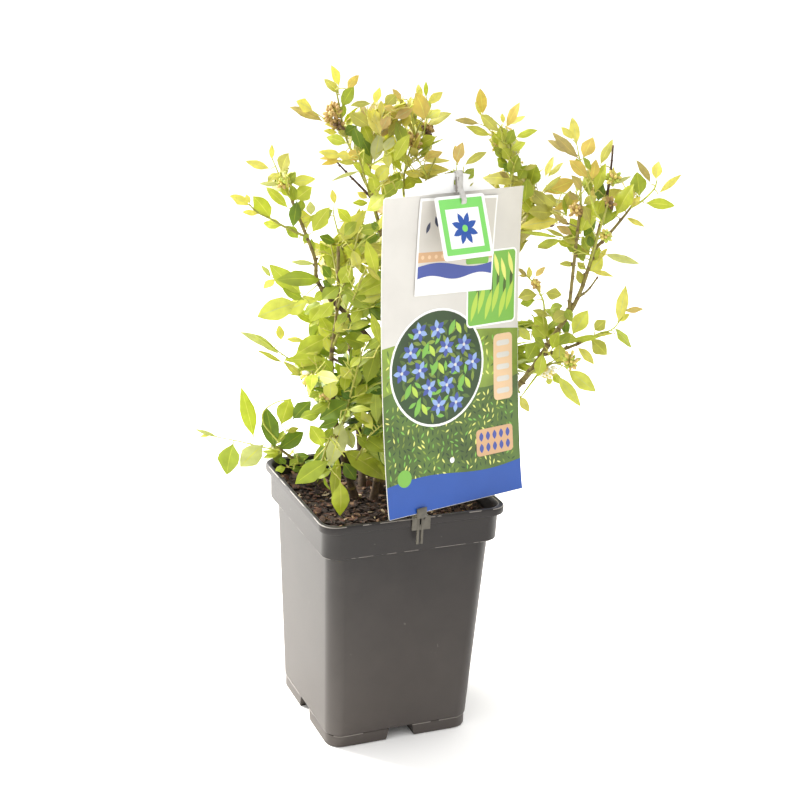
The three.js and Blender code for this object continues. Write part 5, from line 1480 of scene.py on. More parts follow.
def sprinkle(ink, colours, layer, box, step, length, width, seed):
    """Petals strewn over a box, one to each cell, so that neighbours in one layer don't overlap."""
    draw = random_stream(seed)
    left, bottom, across, up = box
    for row in range(int(up / step)):
        for column in range(int(across / step)):
            x = left + step * (column + 0.3 + 0.4 * draw())
            y = bottom + step * (row + 0.3 + 0.4 * draw())
            size = 0.75 + 0.3 * draw()
            over = 0.5 * ((row + column) % 2)
            ink(colours[int(draw() * len(colours))], layer + over,
                petal_outline(x, y, length * size, width * size, 20 + 140 * draw()))


def print_flower(ink, layer, colours, middle, petals, turn, reach, length, width):
    """Petals round a middle, in inks that take turns."""
    for petal in range(petals):
        angle = 360 / petals * petal + turn
        x = middle[0] + reach * math.cos(math.radians(angle))
        y = middle[1] + reach * math.sin(math.radians(angle))
        ink(colours[petal % len(colours)], layer, petal_outline(x, y, length, width, angle))


def print_medallion(ink):
    """A round field of strewn leaves, with star flowers and pairs of leaves over them."""
    middle_x, middle_y = MEDALLION
    ink("white", 3, disc_outline(middle_x, middle_y, MEDALLION_RADIUS, MEDALLION_STEPS))
    ink("forest", 3.5, disc_outline(middle_x, middle_y, MEDALLION_FIELD, MEDALLION_STEPS))
    draw = random_stream(MEDALLION_SEED)
    for row in range(-6, 7):
        for column in range(-6, 7):
            x = middle_x + STREWN_SPACING[0] * column + 2.0 * draw()
            y = middle_y + STREWN_SPACING[1] * row + 2.0 * draw()
            if math.hypot(x - middle_x, y - middle_y) < STREWN_REACH:
                colour = STREWN_INKS[int(len(STREWN_INKS) * draw())]
                over = 0.4 * ((row + column) % 2)
                ink(colour, 4 + over, petal_outline(x, y, 8.4, 3.0, 180 * draw()))
    for row in range(-2, 3):
        for column in range(-2, 3):
            x = middle_x + FLOWER_SPACING[0] * column + FLOWER_SPACING[0] / 2 * (row % 2)
            y = middle_y + FLOWER_SPACING[1] * row
            if math.hypot(x - middle_x, y - middle_y) > FLOWER_REACH:
                continue
            if (row + column) % 3:
                print_flower(ink, 5, ("violet", "sky"), (x, y), 6, 20 * row, 3.9, 7.8, 4.0)
                ink("cream", 5.5, disc_outline(x, y, 1.3, 10))
            else:
                ink("fresh", 5, petal_outline(x - 3.0, y, 13.0, 5.0, 62))
                ink("lime", 5, petal_outline(x + 3.4, y - 1.0, 11.0, 4.2, 118))


def print_panel(ink):
    """A framed panel of leaves."""
    ink("white", 4, box_outline(80.0, 134.0, 49.0, 58.0, 4.0))
    ink("fresh", 5, box_outline(81.4, 135.4, 46.2, 55.2, 3.0))
    for petal in range(PANEL_PETALS):
        for colour, layer, (x, y), spacing, stagger, length, width, angle in PANEL_ROWS:
            ink(colour, layer,
                petal_outline(x + spacing * petal, y + stagger * (petal % 2), length, width, angle))


def print_crates(ink):
    """A tall crate with bars, a low one with lozenges, and two discs beside them."""
    ink("peach", 4, box_outline(107.0, 74.0, 19.0, 52.0, 4.0))
    for bar in range(5):
        ink("cream", 5, box_outline(110.0, 79.0 + 9.4 * bar, 13.0, 4.2, 2.0))
    ink("tan", 4, box_outline(88.0, 32.5, 37.0, 21.0, 3.0))
    for lozenge in range(5):
        for line in range(2):
            ink("violet", 5, petal_outline(93.0 + 6.7 * lozenge, 38.6 + 9.0 * line, 7.4, 4.2, 90))
    ink("fresh", 4, disc_outline(17.0, 28.4, 6.6))
    ink("white", 4, disc_outline(63.3, 34.7, 2.2, 16))


def make_card(inks):
    """The card and its print."""
    heap = Heap()
    ink = printer(heap, inks, on_card)
    slot = box_outline(SLOT_PLACE - SLOT_WIDTH / 2, SLOT_BOTTOM, SLOT_WIDTH, SLOT_OPENING, 1.2)
    slab(heap, [card_outline(), slot], 0, LABEL_THICKNESS, on_card, list(inks).index("cream"))
    # Painted light: the arched tab is printed white, lighter than the cream card, for the brighter light that
    # falls on it
    ink("white", 1, tab_arch(), slot)
    right = LABEL_WIDTH - PRINT_EDGE
    for colour, layer, height, swell, turns, strewn in GROUNDS:
        ink(colour, layer, wave_outline(PRINT_EDGE, right, PRINT_EDGE, height, swell, turns))
        for petals in strewn:
            sprinkle(ink, *petals)
    print_medallion(ink)
    print_panel(ink)
    print_crates(ink)
    piece_of("printed_card", heap, list(inks.values()), "card", ["label_card"], crease=50)


def make_booklet(inks):
    """The booklet on the card: a sky of sprigs, a shelf with dots and a waved foot."""
    heap = Heap()
    ink = printer(heap, inks, on_booklet)
    cover = box_outline(0, 0, BOOKLET_WIDTH, BOOKLET_HEIGHT)
    slab(heap, [cover], 0, BOOKLET_THICKNESS, on_booklet, list(inks).index("white"))
    left = BOOKLET_PRINT_EDGE
    right = BOOKLET_WIDTH - BOOKLET_PRINT_EDGE
    ink("pearl", 1, box_outline(left, 8.0, right - left, BOOKLET_HEIGHT - 10.0))
    ink("violet", 2, wave_outline(left, right, 8.0, 13.5, 2.2, 1.0))
    ink("white", 3, wave_outline(left, right, 8.0, 4.5, 1.8, 1.5))
    ink("tan", 2, box_outline(left, 24.5, right - left, 7.5))
    for dot in range(11):
        ink("peach", 3, disc_outline(left + 4.0 + 6.3 * dot, 28.3, 1.5, 12))
    ink("fresh", 4, box_outline(47.0, 20.5, 22.0, 7.0, 2.0))
    for sprig in range(4):
        odd = sprig % 2
        ink("slate", 2, petal_outline(9.0 + 7.5 * sprig, 50.0 + 4.0 * odd, 9.0, 3.2, 70 + 40 * odd))
    piece_of("printed_booklet", heap, list(inks.values()), "booklet", ["label_booklet"], crease=50)


def make_tag(inks):
    """The tag that hangs before the booklet, with a frame and a flower."""
    heap = Heap()
    ink = printer(heap, inks, on_tag)
    half = TAG_SIZE / 2
    slot = box_outline(SLOT_PLACE - TAG_TOP[0] - SLOT_WIDTH / 2, -TAG_SLOT_DROP - SLOT_OPENING,
                       SLOT_WIDTH, SLOT_OPENING, 0.6)
    slab(heap, [box_outline(-half, -TAG_SIZE, TAG_SIZE, TAG_SIZE, 2.5), slot], 0, TAG_THICKNESS,
         on_tag, list(inks).index("white"))
    ink("mint", 1, box_outline(-half + 2.9, -TAG_SIZE + 3.4, TAG_SIZE - 5.8, TAG_SIZE - 5.6, 0.8),
        box_outline(-half + 7.6, -TAG_SIZE + 8.0, TAG_SIZE - 15.2, TAG_SIZE - 17.6))
    print_flower(ink, 1, ("blue",), TAG_FLOWER, 8, 22.5, 6.6, 11.6, 5.0)
    ink("mint", 2, disc_outline(*TAG_FLOWER, 2.6, 18))
    piece_of("printed_tag", heap, list(inks.values()), "tag", ["hang_tag"], crease=50)


def make_strap(films):
    """A thin film band from behind the card, over its top edge and down into the tag's slot."""
    swing = rotation("X", -TAG_SWING)
    tag_slot = np.array([0, 0, -TAG_SLOT_DROP - SLOT_OPENING / 2])
    top = LABEL_HEIGHT + TAB_RISE
    path = [(x, y, top + rise) for x, y, rise in STRAP_PATH]
    for back, up in STRAP_END:
        _, y, z = swing @ (tag_slot + (0, back, up)) + np.array([0, *TAG_TOP[1:]])
        path.append((STRAP_END_PLACE, y, z))
    heap = Heap()
    strip(heap, path, *STRAP_HALF_WIDTHS, STRAP_THICKNESS, 0.0, 0)
    tail = [(x, y, top + rise) for x, y, rise in STRAP_TAIL]
    strip(heap, tail, *TAIL_HALF_WIDTHS, TAIL_THICKNESS, TAIL_ROLL, 1)
    piece_of("strap_band", heap, films, "strap", ["tag_strap"], crease=60)


def strip(heap, path, first_half, last_half, thickness, roll, shade):
    """A flat band on the label along a path, from one half width to another."""
    curve = catmull_rom(path)
    shares = np.linspace(0, 1, STRAP_STEPS + 1)
    points = np.array([curve(share) for share in shares])
    rings = []
    for share, point, heading in zip(shares, points, np.gradient(points, axis=0)):
        half = first_half + (last_half - first_half) * share
        along = unit(heading)
        across = unit(np.array([1.0, 0, 0]) - along * along[0])
        across = turned(across, along, roll + STRAP_SWAY * math.sin(7 * share))
        face = np.cross(across, along)
        ring = []
        for x, side in STRAP_SECTION:
            ring.append(point + np.array([SLOT_PLACE, 0, 0]) + across * half * x - face * thickness * side)
        rings.append(from_label(ring))
    loft(heap, rings, shade)


def make_clip(material):
    """The CAD clip's own shape with its edges rounded."""
    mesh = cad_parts["label_clip"].data.copy()
    mesh.name = "clip_moulded"
    mesh.materials.clear()
    mesh.materials.append(material)
    shape = bmesh.new()
    shape.from_mesh(mesh)
    bmesh.ops.remove_doubles(shape, verts=shape.verts[:], dist=1e-6)
    bmesh.ops.dissolve_limit(shape, angle_limit=math.radians(2), verts=shape.verts[:], edges=shape.edges[:])
    sharp = [edge for edge in shape.edges if edge.is_manifold and edge.calc_face_angle() > math.radians(50)]
    bmesh.ops.bevel(shape, geom=sharp, offset=CLIP_BEVEL * MM, segments=2, profile=0.5, affect="EDGES")
    shape.to_mesh(mesh)
    shape.free()
    smooth(mesh, 35)
    piece = linked("clip_moulded", mesh)
    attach(piece, "root")
    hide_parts("label_clip")


# ---- Limbs ----

def catmull_rom(points):
    """A smooth curve through points, as a function of the share of its spans."""
    knots = np.array(points, float)
    knots = np.vstack([2 * knots[0] - knots[1], knots, 2 * knots[-1] - knots[-2]])
    spans = len(points) - 1

    def place(share):
        run = min(max(share, 0.0), 1.0) * spans
        span = min(int(run), spans - 1)
        t = run - span
        before, start, end, after = knots[span:span + 4]
        out = (end - before) / 2
        into = (after - start) / 2
        return (start * (2 * t ** 3 - 3 * t ** 2 + 1) + out * (t ** 3 - 2 * t ** 2 + t)
                + end * (3 * t ** 2 - 2 * t ** 3) + into * (t ** 3 - t ** 2))
    return place


def bezier(start, middle, end):
    def place(share):
        rest = 1 - share
        return rest * rest * start + 2 * rest * share * middle + share * share * end
    return place


def heading_on(curve, share):
    """The way a curve points at a share of its spans."""
    return unit(curve(min(share + 1e-3, 1.0)) - curve(max(share - 1e-3, 0.0)))


def limb_of(name, curve, radii, flare=0.0):
    path = np.array([curve(share) for share in np.linspace(0, 1, LIMB_STEPS + 1)])
    return {"name": name, "curve": curve, "radii": radii, "flare": flare, "path": path}


def grafted_curve(limb, share, tip, arch):
    """A curve that grows out of a limb, or runs on from its tip, and ends at the tip given."""
    start = limb["curve"](share)
    end = np.array(tip, float)
    if share == 1:
        along = heading_on(limb["curve"], 1.0)
        return bezier(start, start + along * STEM_BEND * np.linalg.norm(end - start), end)
    return bezier(start, (start + end) / 2 + UP * arch, end)


def grow_limbs():
    """The canes and boughs by name."""
    limbs = {}
    for name, foot, radii, way in CANES:
        start = (foot[0], foot[1], SEAT_HEIGHT)
        limbs[name] = limb_of(name, catmull_rom([start, *way]), radii, ROOT_FLARE)
    for name, on, share, tip, arch, radii in BOUGHS:
        limbs[name] = limb_of(name, grafted_curve(limbs[on], share, tip, arch), radii)
    return limbs


def bark(heap, buds, limb, rng, old_share):
    """A limb with ridged bark, swollen nodes and a bud at each."""
    shown = LIMB_SHOWN.get(limb["name"], 1.0)

    def curve(share):
        return limb["curve"](share * shown)

    steps = np.array([curve(share) for share in np.linspace(0, 1, 60)])
    length = path_length(steps)
    count = int(length / BARK_RING_STEP)
    shares = np.linspace(0, 1, count + 1)
    points = np.array([curve(share) for share in shares])
    run = shares * length
    radii = limb["radii"][0] + (limb["radii"][1] - limb["radii"][0]) * shares
    radii = radii * (1 + limb["flare"] * np.exp(-run / ROOT_FLARE_LENGTH))
    if limb["flare"]:
        points[0] -= UP * BARK_SUNK
    rings = rings_round(points, radii, BARK_SIDES)
    nodes = np.arange(NODE_START, length - NODE_END_GAP, NODE_SPACING)
    nodes = nodes + rng.uniform(-NODE_SHIFT, NODE_SHIFT, len(nodes))
    azimuths = GOLDEN_ANGLE * np.arange(len(nodes)) + rng.uniform(0, 6)
    seed = float(rng.uniform(0, 50))
    for index in range(count + 1):
        for side in range(BARK_SIDES):
            angle = 2 * math.pi * side / BARK_SIDES
            x = math.cos(angle)
            y = math.sin(angle)
            ridge = noise.noise(Vector((RIDGE_GRAIN * x + seed, RIDGE_GRAIN * y,
                                        run[index] * RIDGE_GRAIN_ALONG)))
            fleck = noise.noise(Vector((FLECK_GRAIN * x, FLECK_GRAIN * y + seed,
                                        run[index] * FLECK_GRAIN_ALONG)))
            swell = RIDGE_HEIGHT * ridge + FLECK_HEIGHT * fleck
            for node, azimuth in zip(nodes, azimuths):
                if abs(run[index] - node) < NODE_REACH:
                    height = NODE_SWELL + BUD_SWELL * max(0.0, math.cos(angle - azimuth))
                    swell += height * math.exp(-((run[index] - node) / SWELL_SPREAD) ** 2)
            rings[index, side] = points[index] + (rings[index, side] - points[index]) * (1 + swell)
    shades = []
    for index in range(count):
        near = len(nodes) > 0 and np.abs(nodes - run[index]).min() < NODE_HALF_BAND
        old = shares[index] + 0.05 * math.sin(index * 1.7) < old_share
        shades += [NODE_BARK if near else (OLD_BARK if old else YOUNG_BARK)] * BARK_SIDES
    loft(heap, rings, shades + [OLD_BARK, YOUNG_BARK])
    for node, azimuth in zip(nodes, azimuths):
        share = node / length
        along = heading_on(curve, share)
        normal = unit(rings[int(share * count), 0] - points[int(share * count)])
        out = turned(normal, along, azimuth)
        radius = np.interp(share, shares, radii)
        bead(buds, curve(share) + out * (radius + 0.35), along + 0.5 * out, 2.6, 0.75, SCALE, 6)


# ---- The growing rule ----

def random_stream(seed):
    """A random stream that always gives the same draws for the same seed."""
    state = [seed]

    def draw():
        state[0] = state[0] * 48271 % 2147483647
        return state[0] / 2147483647
    return draw


def distances(places, starts, spans):
    """How far each place lies from each straight span."""
    offsets = places[:, None, :] - starts[None]
    shares = np.clip((offsets * spans).sum(2) / (spans ** 2).sum(1), 0, 1)
    return np.linalg.norm(offsets - shares[..., None] * spans, axis=2)


class Plant:
    """The limbs and the sprays' stems, and who owns each place between them."""

    def __init__(self, limbs):
        self.limbs = limbs
        self.sprays = []
        self.eye = Eye()
        self.kept_clear = {}
        self.wood = np.vstack([smooth_path(limb["path"]) for limb in limbs.values()])
        for index, (name, on, share, tip, reach, shoots, leaf, lift, tone) in enumerate(SPRAYS):
            curve = grafted_curve(limbs[on], share, tip, 0 if lift > 0 else STEM_DROOP)
            path = np.array([curve(step / STEM_STEPS) for step in range(STEM_STEPS + 1)])
            self.sprays.append({"name": name, "curve": curve, "path": path, "reach": reach, "shoots": shoots,
                                "leaf": leaf, "lift": lift, "tone": tone, "paths": [], "taken": [],
                                "run": np.linalg.norm(curve(STEM_MIDDLE) - self.eye.place),
                                "draw": random_stream(FIRST_SEED + SEED_STEP * index)})
            if name in KEY_STEMS:
                self.sprays[-1]["curve"] = self.bent_stem(*KEY_STEMS[name], self.sprays[-1]["run"])
        self.stem_starts = np.vstack([spray["path"][:-1] for spray in self.sprays])
        self.stem_spans = np.vstack([np.diff(spray["path"], axis=0) for spray in self.sprays])
        self.limb_starts = np.vstack([limb["path"][:-1] for limb in limbs.values()])
        self.limb_spans = np.vstack([np.diff(limb["path"], axis=0) for limb in limbs.values()])
        self.limb_radii = np.concatenate([np.linspace(*limb["radii"], LIMB_STEPS) for limb in limbs.values()])

    def bent_stem(self, limb, spots, run):
        """A stem from a limb through pixels, that comes to lie a run away from the eye."""
        first, root = self.eye.lifted(spots[0], smooth_path(self.limbs[limb]["path"]), run)
        start = np.linalg.norm(first - self.eye.place)
        path = [root]
        for step, spot in enumerate(spots[1:], 1):
            share = step / (len(spots) - 1)
            path.append(self.eye.place + self.eye.sight(spot) * (start + (run - start) * share))
        return catmull_rom(path)

    def in_view(self, places):
        """True for each place that shows within a dense part of the crown, or is hidden by the label."""
        spots = self.eye.seen(places)
        inside = inside_outline(spots, LABEL_COVER)
        for outline in MASSES:
            inside |= inside_outline(spots, outline)
        return inside

    def cells(self, places):
        """The cell of the picture in which each place shows, and how far off it is."""
        runs = np.linalg.norm(places - self.eye.place, axis=1)
        return [((int(spot[0] / VIEW_CELL), int(spot[1] / VIEW_CELL)), run)
                for spot, run in zip(self.eye.seen(places), runs)]

    def keep_clear(self, places):
        """Notes where a key leaf shows, so that no other leaf grows before it."""
        for cell, run in self.cells(places):
            self.kept_clear[cell] = max(run, self.kept_clear.get(cell, 0.0))

    def hides(self, places):
        """True if more than one of these places would stand before a key leaf."""
        hidden = sum(run < self.kept_clear.get(cell, 0.0) for cell, run in self.cells(places))
        return hidden > 1

    def owned(self, places, index, limb_margin):
        """True for each place nearer to this spray's stem than to any other, and free of the rest."""
        stems = distances(places, self.stem_starts, self.stem_spans)
        stems = stems.reshape(len(places), len(self.sprays), STEM_STEPS).min(2)
        own = stems[:, index].copy()
        stems[:, index] = np.inf
        free = stems.min(1) >= own
        near = distances(places, self.limb_starts, self.limb_spans) < self.limb_radii + limb_margin
        return free & ~near.any(1) & ~inside_pot_or_label(places)


def inside_pot_or_label(places):
    """True for each place in or too near to the pot's rim, the soil or the label."""
    out = np.abs(places[:, :2]).max(1)
    over_rim = (out > COLLAR_WIDTH / 2 - 2 * RIM_MARGIN) & (out < LIP_WIDTH / 2 + RIM_MARGIN)
    blocked = over_rim & (places[:, 2] < POT_HEIGHT + RIM_MARGIN)
    blocked |= (out < LIP_WIDTH / 2) & (places[:, 2] < SOIL_TOP + SOIL_MARGIN)
    right, back, up = to_label(places).T
    beside = (right > -LABEL_SIDE_MARGIN) & (right < LABEL_WIDTH + LABEL_SIDE_MARGIN)
    below = up < LABEL_HEIGHT + TAB_RISE + LABEL_SIDE_MARGIN
    return blocked | (beside & below & (back < hollow_at(up) + LABEL_BACK_MARGIN))


def sideways_to(along):
    """A direction square to another one."""
    other = UP if abs(along[2]) < NEARLY_ALONG else np.array([1.0, 0.0, 0.0])
    return unit(np.cross(along, other))


def shoot_path(plant, index, start, along, azimuth, angle, length):
    """A side shoot that bends by the spray's lift and stops where it would leave the spray's space."""
    side = turned(sideways_to(along), along, azimuth)
    heading = along * math.cos(angle) + side * math.sin(angle)
    steps = max(2, round(length / SHOOT_STEP_LENGTH))
    lift = SHOOT_LIFT * plant.sprays[index]["lift"] * SHOOT_STEP_LENGTH / RULE_STEP_LENGTH
    path = [start]
    for _ in range(steps):
        heading = unit(heading + UP * lift)
        point = path[-1] + heading * length / steps
        if not plant.owned(point[None], index, SHOOT_MARGIN)[0] or not plant.in_view(point[None])[0]:
            break
        path.append(point)
    return np.array(path)


def point_on(path, share):
    """The place and the heading at a share of a path's length."""
    runs = np.concatenate([[0], np.cumsum(np.linalg.norm(np.diff(path, axis=0), axis=1))])
    run = min(max(share, 0.0), 1.0) * runs[-1]
    span = min(int(np.searchsorted(runs, run, side="right")) - 1, len(path) - 2)
    step = path[span + 1] - path[span]
    return path[span] + step * (run - runs[span]) / (runs[span + 1] - runs[span]), unit(step)


def path_length(path):
    return np.linalg.norm(np.diff(path, axis=0), axis=1).sum()


def leaf_frame(root, along, side, lean, roll, lift):
    """A leaf's root on a twig, the way it points, and the way its upper face looks."""
    heading = unit(along * math.cos(lean) + side * math.sin(lean) + UP * LEAF_LIFT * lift)
    outward = root * (1.0, 1.0, 0.0) - (*CROWN_MIDDLE, 0.0)
    facing = unit(UP + unit(outward) * LEAF_OUTWARD)
    normal = facing - heading * (heading @ facing)
    if np.linalg.norm(normal) < 0.35:
        normal = along - side * 0.6 - heading * (along @ heading)
    normal = unit(normal - heading * (normal @ heading))
    normal = turned(normal, heading, roll)
    return root, heading, normal, np.cross(heading, normal)


def leaf_probes(leaf, length, half_width, step=PROBE_STEP, columns=PROBE_COLUMNS):
    """Places spread over a leaf."""
    root, heading, _, across = leaf
    probes = []
    for y in np.arange(0.16, 1.01, step):
        spread = y / LEAF_WIDEST if y < LEAF_WIDEST else (1 - y) / 0.55
        for x in np.linspace(-0.8, 0.8, columns):
            probes.append(root + across * x * spread * half_width + heading * y * length)
    return np.array(probes)


def add_leaves(plant, index, leaves, path, first, size, rosette):
    """Leaves spiral up a twig and end in a rosette.

    One that would leave the spray's space, stand before the sky, hide a key leaf or cross another
    leaf is turned and shortened, and skipped if that doesn't help.
    """
    spray = plant.sprays[index]
    taken = spray["taken"]
    draw = spray["draw"]
    length = path_length(path)
    crown = (rosette - 1) * ROSETTE_SPACING
    places = []
    run = first * length
    while run < length - crown - LEAF_SPACING / 2:
        lean = 1.05 - 0.2 * run / length
        places.append((run / length, lean, 1.0))
        run += LEAF_SPACING * (0.8 + 0.4 * draw())
    for leaf in range(rosette - 1, -1, -1):
        share = max(0.0, 1 - leaf * ROSETTE_SPACING / length)
        lean = 0.55 + 0.12 * leaf if leaf else TIP_LEAF_LEAN
        young = 0.78 + 0.06 * leaf if leaf else TIP_LEAF_SIZE
        places.append((share, lean, young))
    azimuth = 2 * math.pi * draw()
    tones = TONES[spray["tone"]]
    for share, lean, young in places:
        azimuth += GOLDEN_ANGLE
        root, along = point_on(path, share)
        side = sideways_to(along)
        full = size * young * (LEAF_SIZE + LEAF_SIZE_SPREAD * draw()) * (1 - 0.1 * share)
        roll = LEAF_ROLL * (draw() - 0.5)
        tint = tones[int(draw() * len(tones)) % len(tones)]
        curl = 0.15 + 0.65 * draw()
        twist = 0.5 * (draw() - 0.5)
        fold = 0.12 + 0.3 * draw()
        phase = draw()
        for attempt in range(LEAF_TRIES):
            blade = full * (1 - TRY_SHORTENED * attempt)
            half = LEAF_WIDTH_SHARE * blade / 2 * (0.88 + 0.3 * phase)
            facing = turned(side, along, azimuth + TRY_TURNED * attempt)
            leaf = leaf_frame(root, along, facing, lean, roll, spray["lift"])
            probes = leaf_probes(leaf, blade, half)
            if not plant.owned(probes, index, LIMB_MARGIN).all():
                continue
            if plant.in_view(probes).mean() < MASS_SHARE or plant.hides(probes):
                continue
            if taken:
                others = np.vstack(taken)
                gaps = np.linalg.norm(probes[:, None] - others[None], axis=2).min(1)
                if (gaps < LEAF_GAP).sum() > LEAF_TOUCHES:
                    continue
            taken.append(probes)
            leaves.append((*leaf, blade, half, curl, twist, fold, phase, tint, spray["tone"]))
            break


def shown_part(plant, spray):
    """How far along a spray's stem the last place lies that isn't before the sky."""
    if spray["name"] in KEY_STEMS:
        return 1.0
    shares = np.linspace(0, 1, LIMB_STEPS + 1)
    shown = plant.in_view(np.array([spray["curve"](share) for share in shares]))
    if not shown.any():
        return 0.0
    last = int(np.flatnonzero(shown)[-1])
    return shares[last] if shown[:last + 1].mean() > 0.5 else 0.0


def grow_wood(plant, index, twigs):
    """A spray's stem with the source's shoots, and finer twigs between them."""
    spray = plant.sprays[index]
    draw = spray["draw"]
    shown = shown_part(plant, spray)
    if shown < SHOWN_LEAST:
        return

    def curve(share):
        return spray["curve"](share * shown)

    stem = np.array([curve(share) for share in np.linspace(0, 1, LIMB_STEPS + 1)])
    loft(twigs, rings_round(stem, np.linspace(*STEM_RADII, len(stem)), 7), STEM_GREEN)
    spray["paths"].append((stem, *STEM_LEAVES))
    count = spray["shoots"] * (BACK_SHOOTS if "back" in spray["name"] else 1)
    shoots = []
    for shoot in range(count):
        share = SHOOT_START + SHOOT_SPAN * (shoot + 0.4) / count
        azimuth = shoot * GOLDEN_ANGLE + 1.2 * draw()
        length = spray["reach"] * (0.8 + 0.35 * draw()) * (1 - 0.35 * share)
        angle = SHOOT_ANGLES[0] + (SHOOT_ANGLES[1] - SHOOT_ANGLES[0]) * share
        path = shoot_path(plant, index, curve(share), heading_on(curve, share), azimuth, angle, length)
        if path_length(path) > SHOOT_SHORTEST:
            shoots.append(path)
            loft(twigs, rings_round(path, np.linspace(*SHOOT_RADII, len(path)), 6), FRESH_GREEN)
            spray["paths"].append((path, *SHOOT_LEAVES))
    fine = []
    for path in shoots:
        for part in TWIG_SHARES:
            start, along = point_on(path, part)
            length = 0.5 * spray["reach"] * (0.7 + 0.5 * draw())
            fine.append(shoot_path(plant, index, start, along, 6.3 * draw(), TWIG_ANGLE, length))
    for step in range(STEM_TWIGS):
        share = STEM_TWIG_START + STEM_TWIG_STEP * step
        start = curve(share)
        along = heading_on(curve, share)
        length = 0.6 * spray["reach"] * (0.7 + 0.5 * draw())
        azimuth = GOLDEN_ANGLE * (step + 0.5) + 2 * draw()
        fine.append(shoot_path(plant, index, start, along, azimuth, STEM_TWIG_ANGLE, length))
    for twig in fine:
        if path_length(twig) > TWIG_SHORTEST:
            loft(twigs, rings_round(twig, np.linspace(*TWIG_RADII, len(twig)), 5), SOFT_GREEN)
            spray["paths"].append((twig, *TWIG_LEAVES))
    plant.wood = np.vstack([plant.wood, *[smooth_path(path) for path, *_ in spray["paths"]]])


def grow_leaves(plant, index, leaves):
    """The leaves of a spray's stem, shoots and twigs."""
    spray = plant.sprays[index]
    for path, first, size, rosette in spray["paths"]:
        add_leaves(plant, index, leaves, path, first, size * spray["leaf"], rosette)


# ---- Key twigs, leaves and clusters ----

def smooth_path(points):
    """A path through points with four steps from each to the next."""
    curve = catmull_rom(points)
    return np.array([curve(share) for share in np.linspace(0, 1, 4 * (len(points) - 1) + 1)])


def grow_key_twigs(plant, twigs, buds):
    """The twigs that are placed by where they show, from the wood that they grow out of."""
    eye = plant.eye
    sprays = {spray["name"]: spray for spray in plant.sprays}
    for name, radius, kind, spots in KEY_TWIGS:
        spray = sprays[name]
        first, root = eye.lifted(spots[0], plant.wood, spray["run"])
        run = np.linalg.norm(first - eye.place)
        reach = np.hypot(*(np.array(spots[-1]) - spots[0])) * run / eye.focal
        sway = TWIG_DEPTH_SWAY * (spray["draw"]() - 0.5) * reach
        path = [root]
        for step, spot in enumerate(spots[1:], 1):
            path.append(eye.place + eye.sight(spot) * (run + sway * step / (len(spots) - 1)))
        path = smooth_path(path)
        if kind == "green":
            loft(twigs, rings_round(path, np.linspace(radius, 0.5 * radius, len(path)), 7), FRESH_GREEN)
        else:
            add_bare_twig(twigs, buds, path, radius, TWIG_KINDS[kind])
        plant.wood = np.vstack([plant.wood, path])


def grow_key_leaves(plant, leaves, twigs, buds):
    """The leaves and clusters that are placed by where they show, each on a stalk from the wood near it."""
    eye = plant.eye
    sprays = {spray["name"]: spray for spray in plant.sprays}
    for name, rows in KEY_LEAVES.items():
        spray = sprays[name]
        for root_x, root_y, tip_x, tip_y, width, tint in rows:
            root, near = eye.lifted((root_x, root_y), plant.wood, spray["run"])
            gap = np.linalg.norm(root - near)
            if gap > PETIOLE_REACH:
                petiole = smooth_path([near, (root + near) / 2 + UP * 0.12 * gap, root])
                radii = np.linspace(1.5 * PETIOLE_RADIUS, PETIOLE_RADIUS, len(petiole))
                loft(twigs, rings_round(petiole, radii, 5), SOFT_GREEN)
            leaf = key_leaf(eye, root, (tip_x, tip_y), KEY_WIDENED * width, spray["draw"])
            size = leaf[4:6]
            spray["taken"].append(leaf_probes(leaf[:4], *size))
            plant.keep_clear(leaf_probes(leaf[:4], *size, KEY_PROBE_STEP, KEY_PROBE_COLUMNS))
            leaves.append((*leaf, tint, spray["tone"]))
    for name, spot, size, kind in CLUSTERS:
        spray = sprays[name]
        middle, near = eye.lifted(spot, plant.wood, spray["run"])
        radius = size * np.linalg.norm(middle - eye.place) / eye.focal
        grow_cluster(buds, twigs, middle, near, radius, kind, spray["draw"])


def key_leaf(eye, root, tip_spot, width, draw):
    """A leaf from its root to a tip seen at a pixel, its blade turned mostly to the eye."""
    run = np.linalg.norm(root - eye.place)
    length = np.linalg.norm(eye.place + eye.sight(tip_spot) * run - root)
    tip = eye.place + eye.sight(tip_spot) * (run + KEY_DEPTH_SWAY * (draw() - 0.5) * length)
    curl = 0.15 + 0.55 * draw()
    chord = np.linalg.norm(tip - root)
    line = (tip - root) / chord
    view = unit(eye.place - root)
    wander = np.array([draw(), draw(), draw()]) - 0.5
    normal = view * KEY_FACING_EYE + UP * KEY_FACING_UP + wander * KEY_FACING_WANDER
    normal = unit(normal - line * (normal @ line))
    half = width / 2 * run / eye.focal / max(KEY_TURNED_AWAY, abs(normal @ view))
    heading = line * math.cos(curl / 2) + normal * math.sin(curl / 2)
    normal = normal * math.cos(curl / 2) - line * math.sin(curl / 2)
    blade = chord * (curl / 2) / math.sin(curl / 2)
    twist = 0.5 * (draw() - 0.5)
    fold = 0.1 + 0.3 * draw()
    half = min(half, KEY_WIDEST_SHARE * blade)
    return (root, heading, normal, np.cross(heading, normal), blade, half, curl, twist, fold, draw())


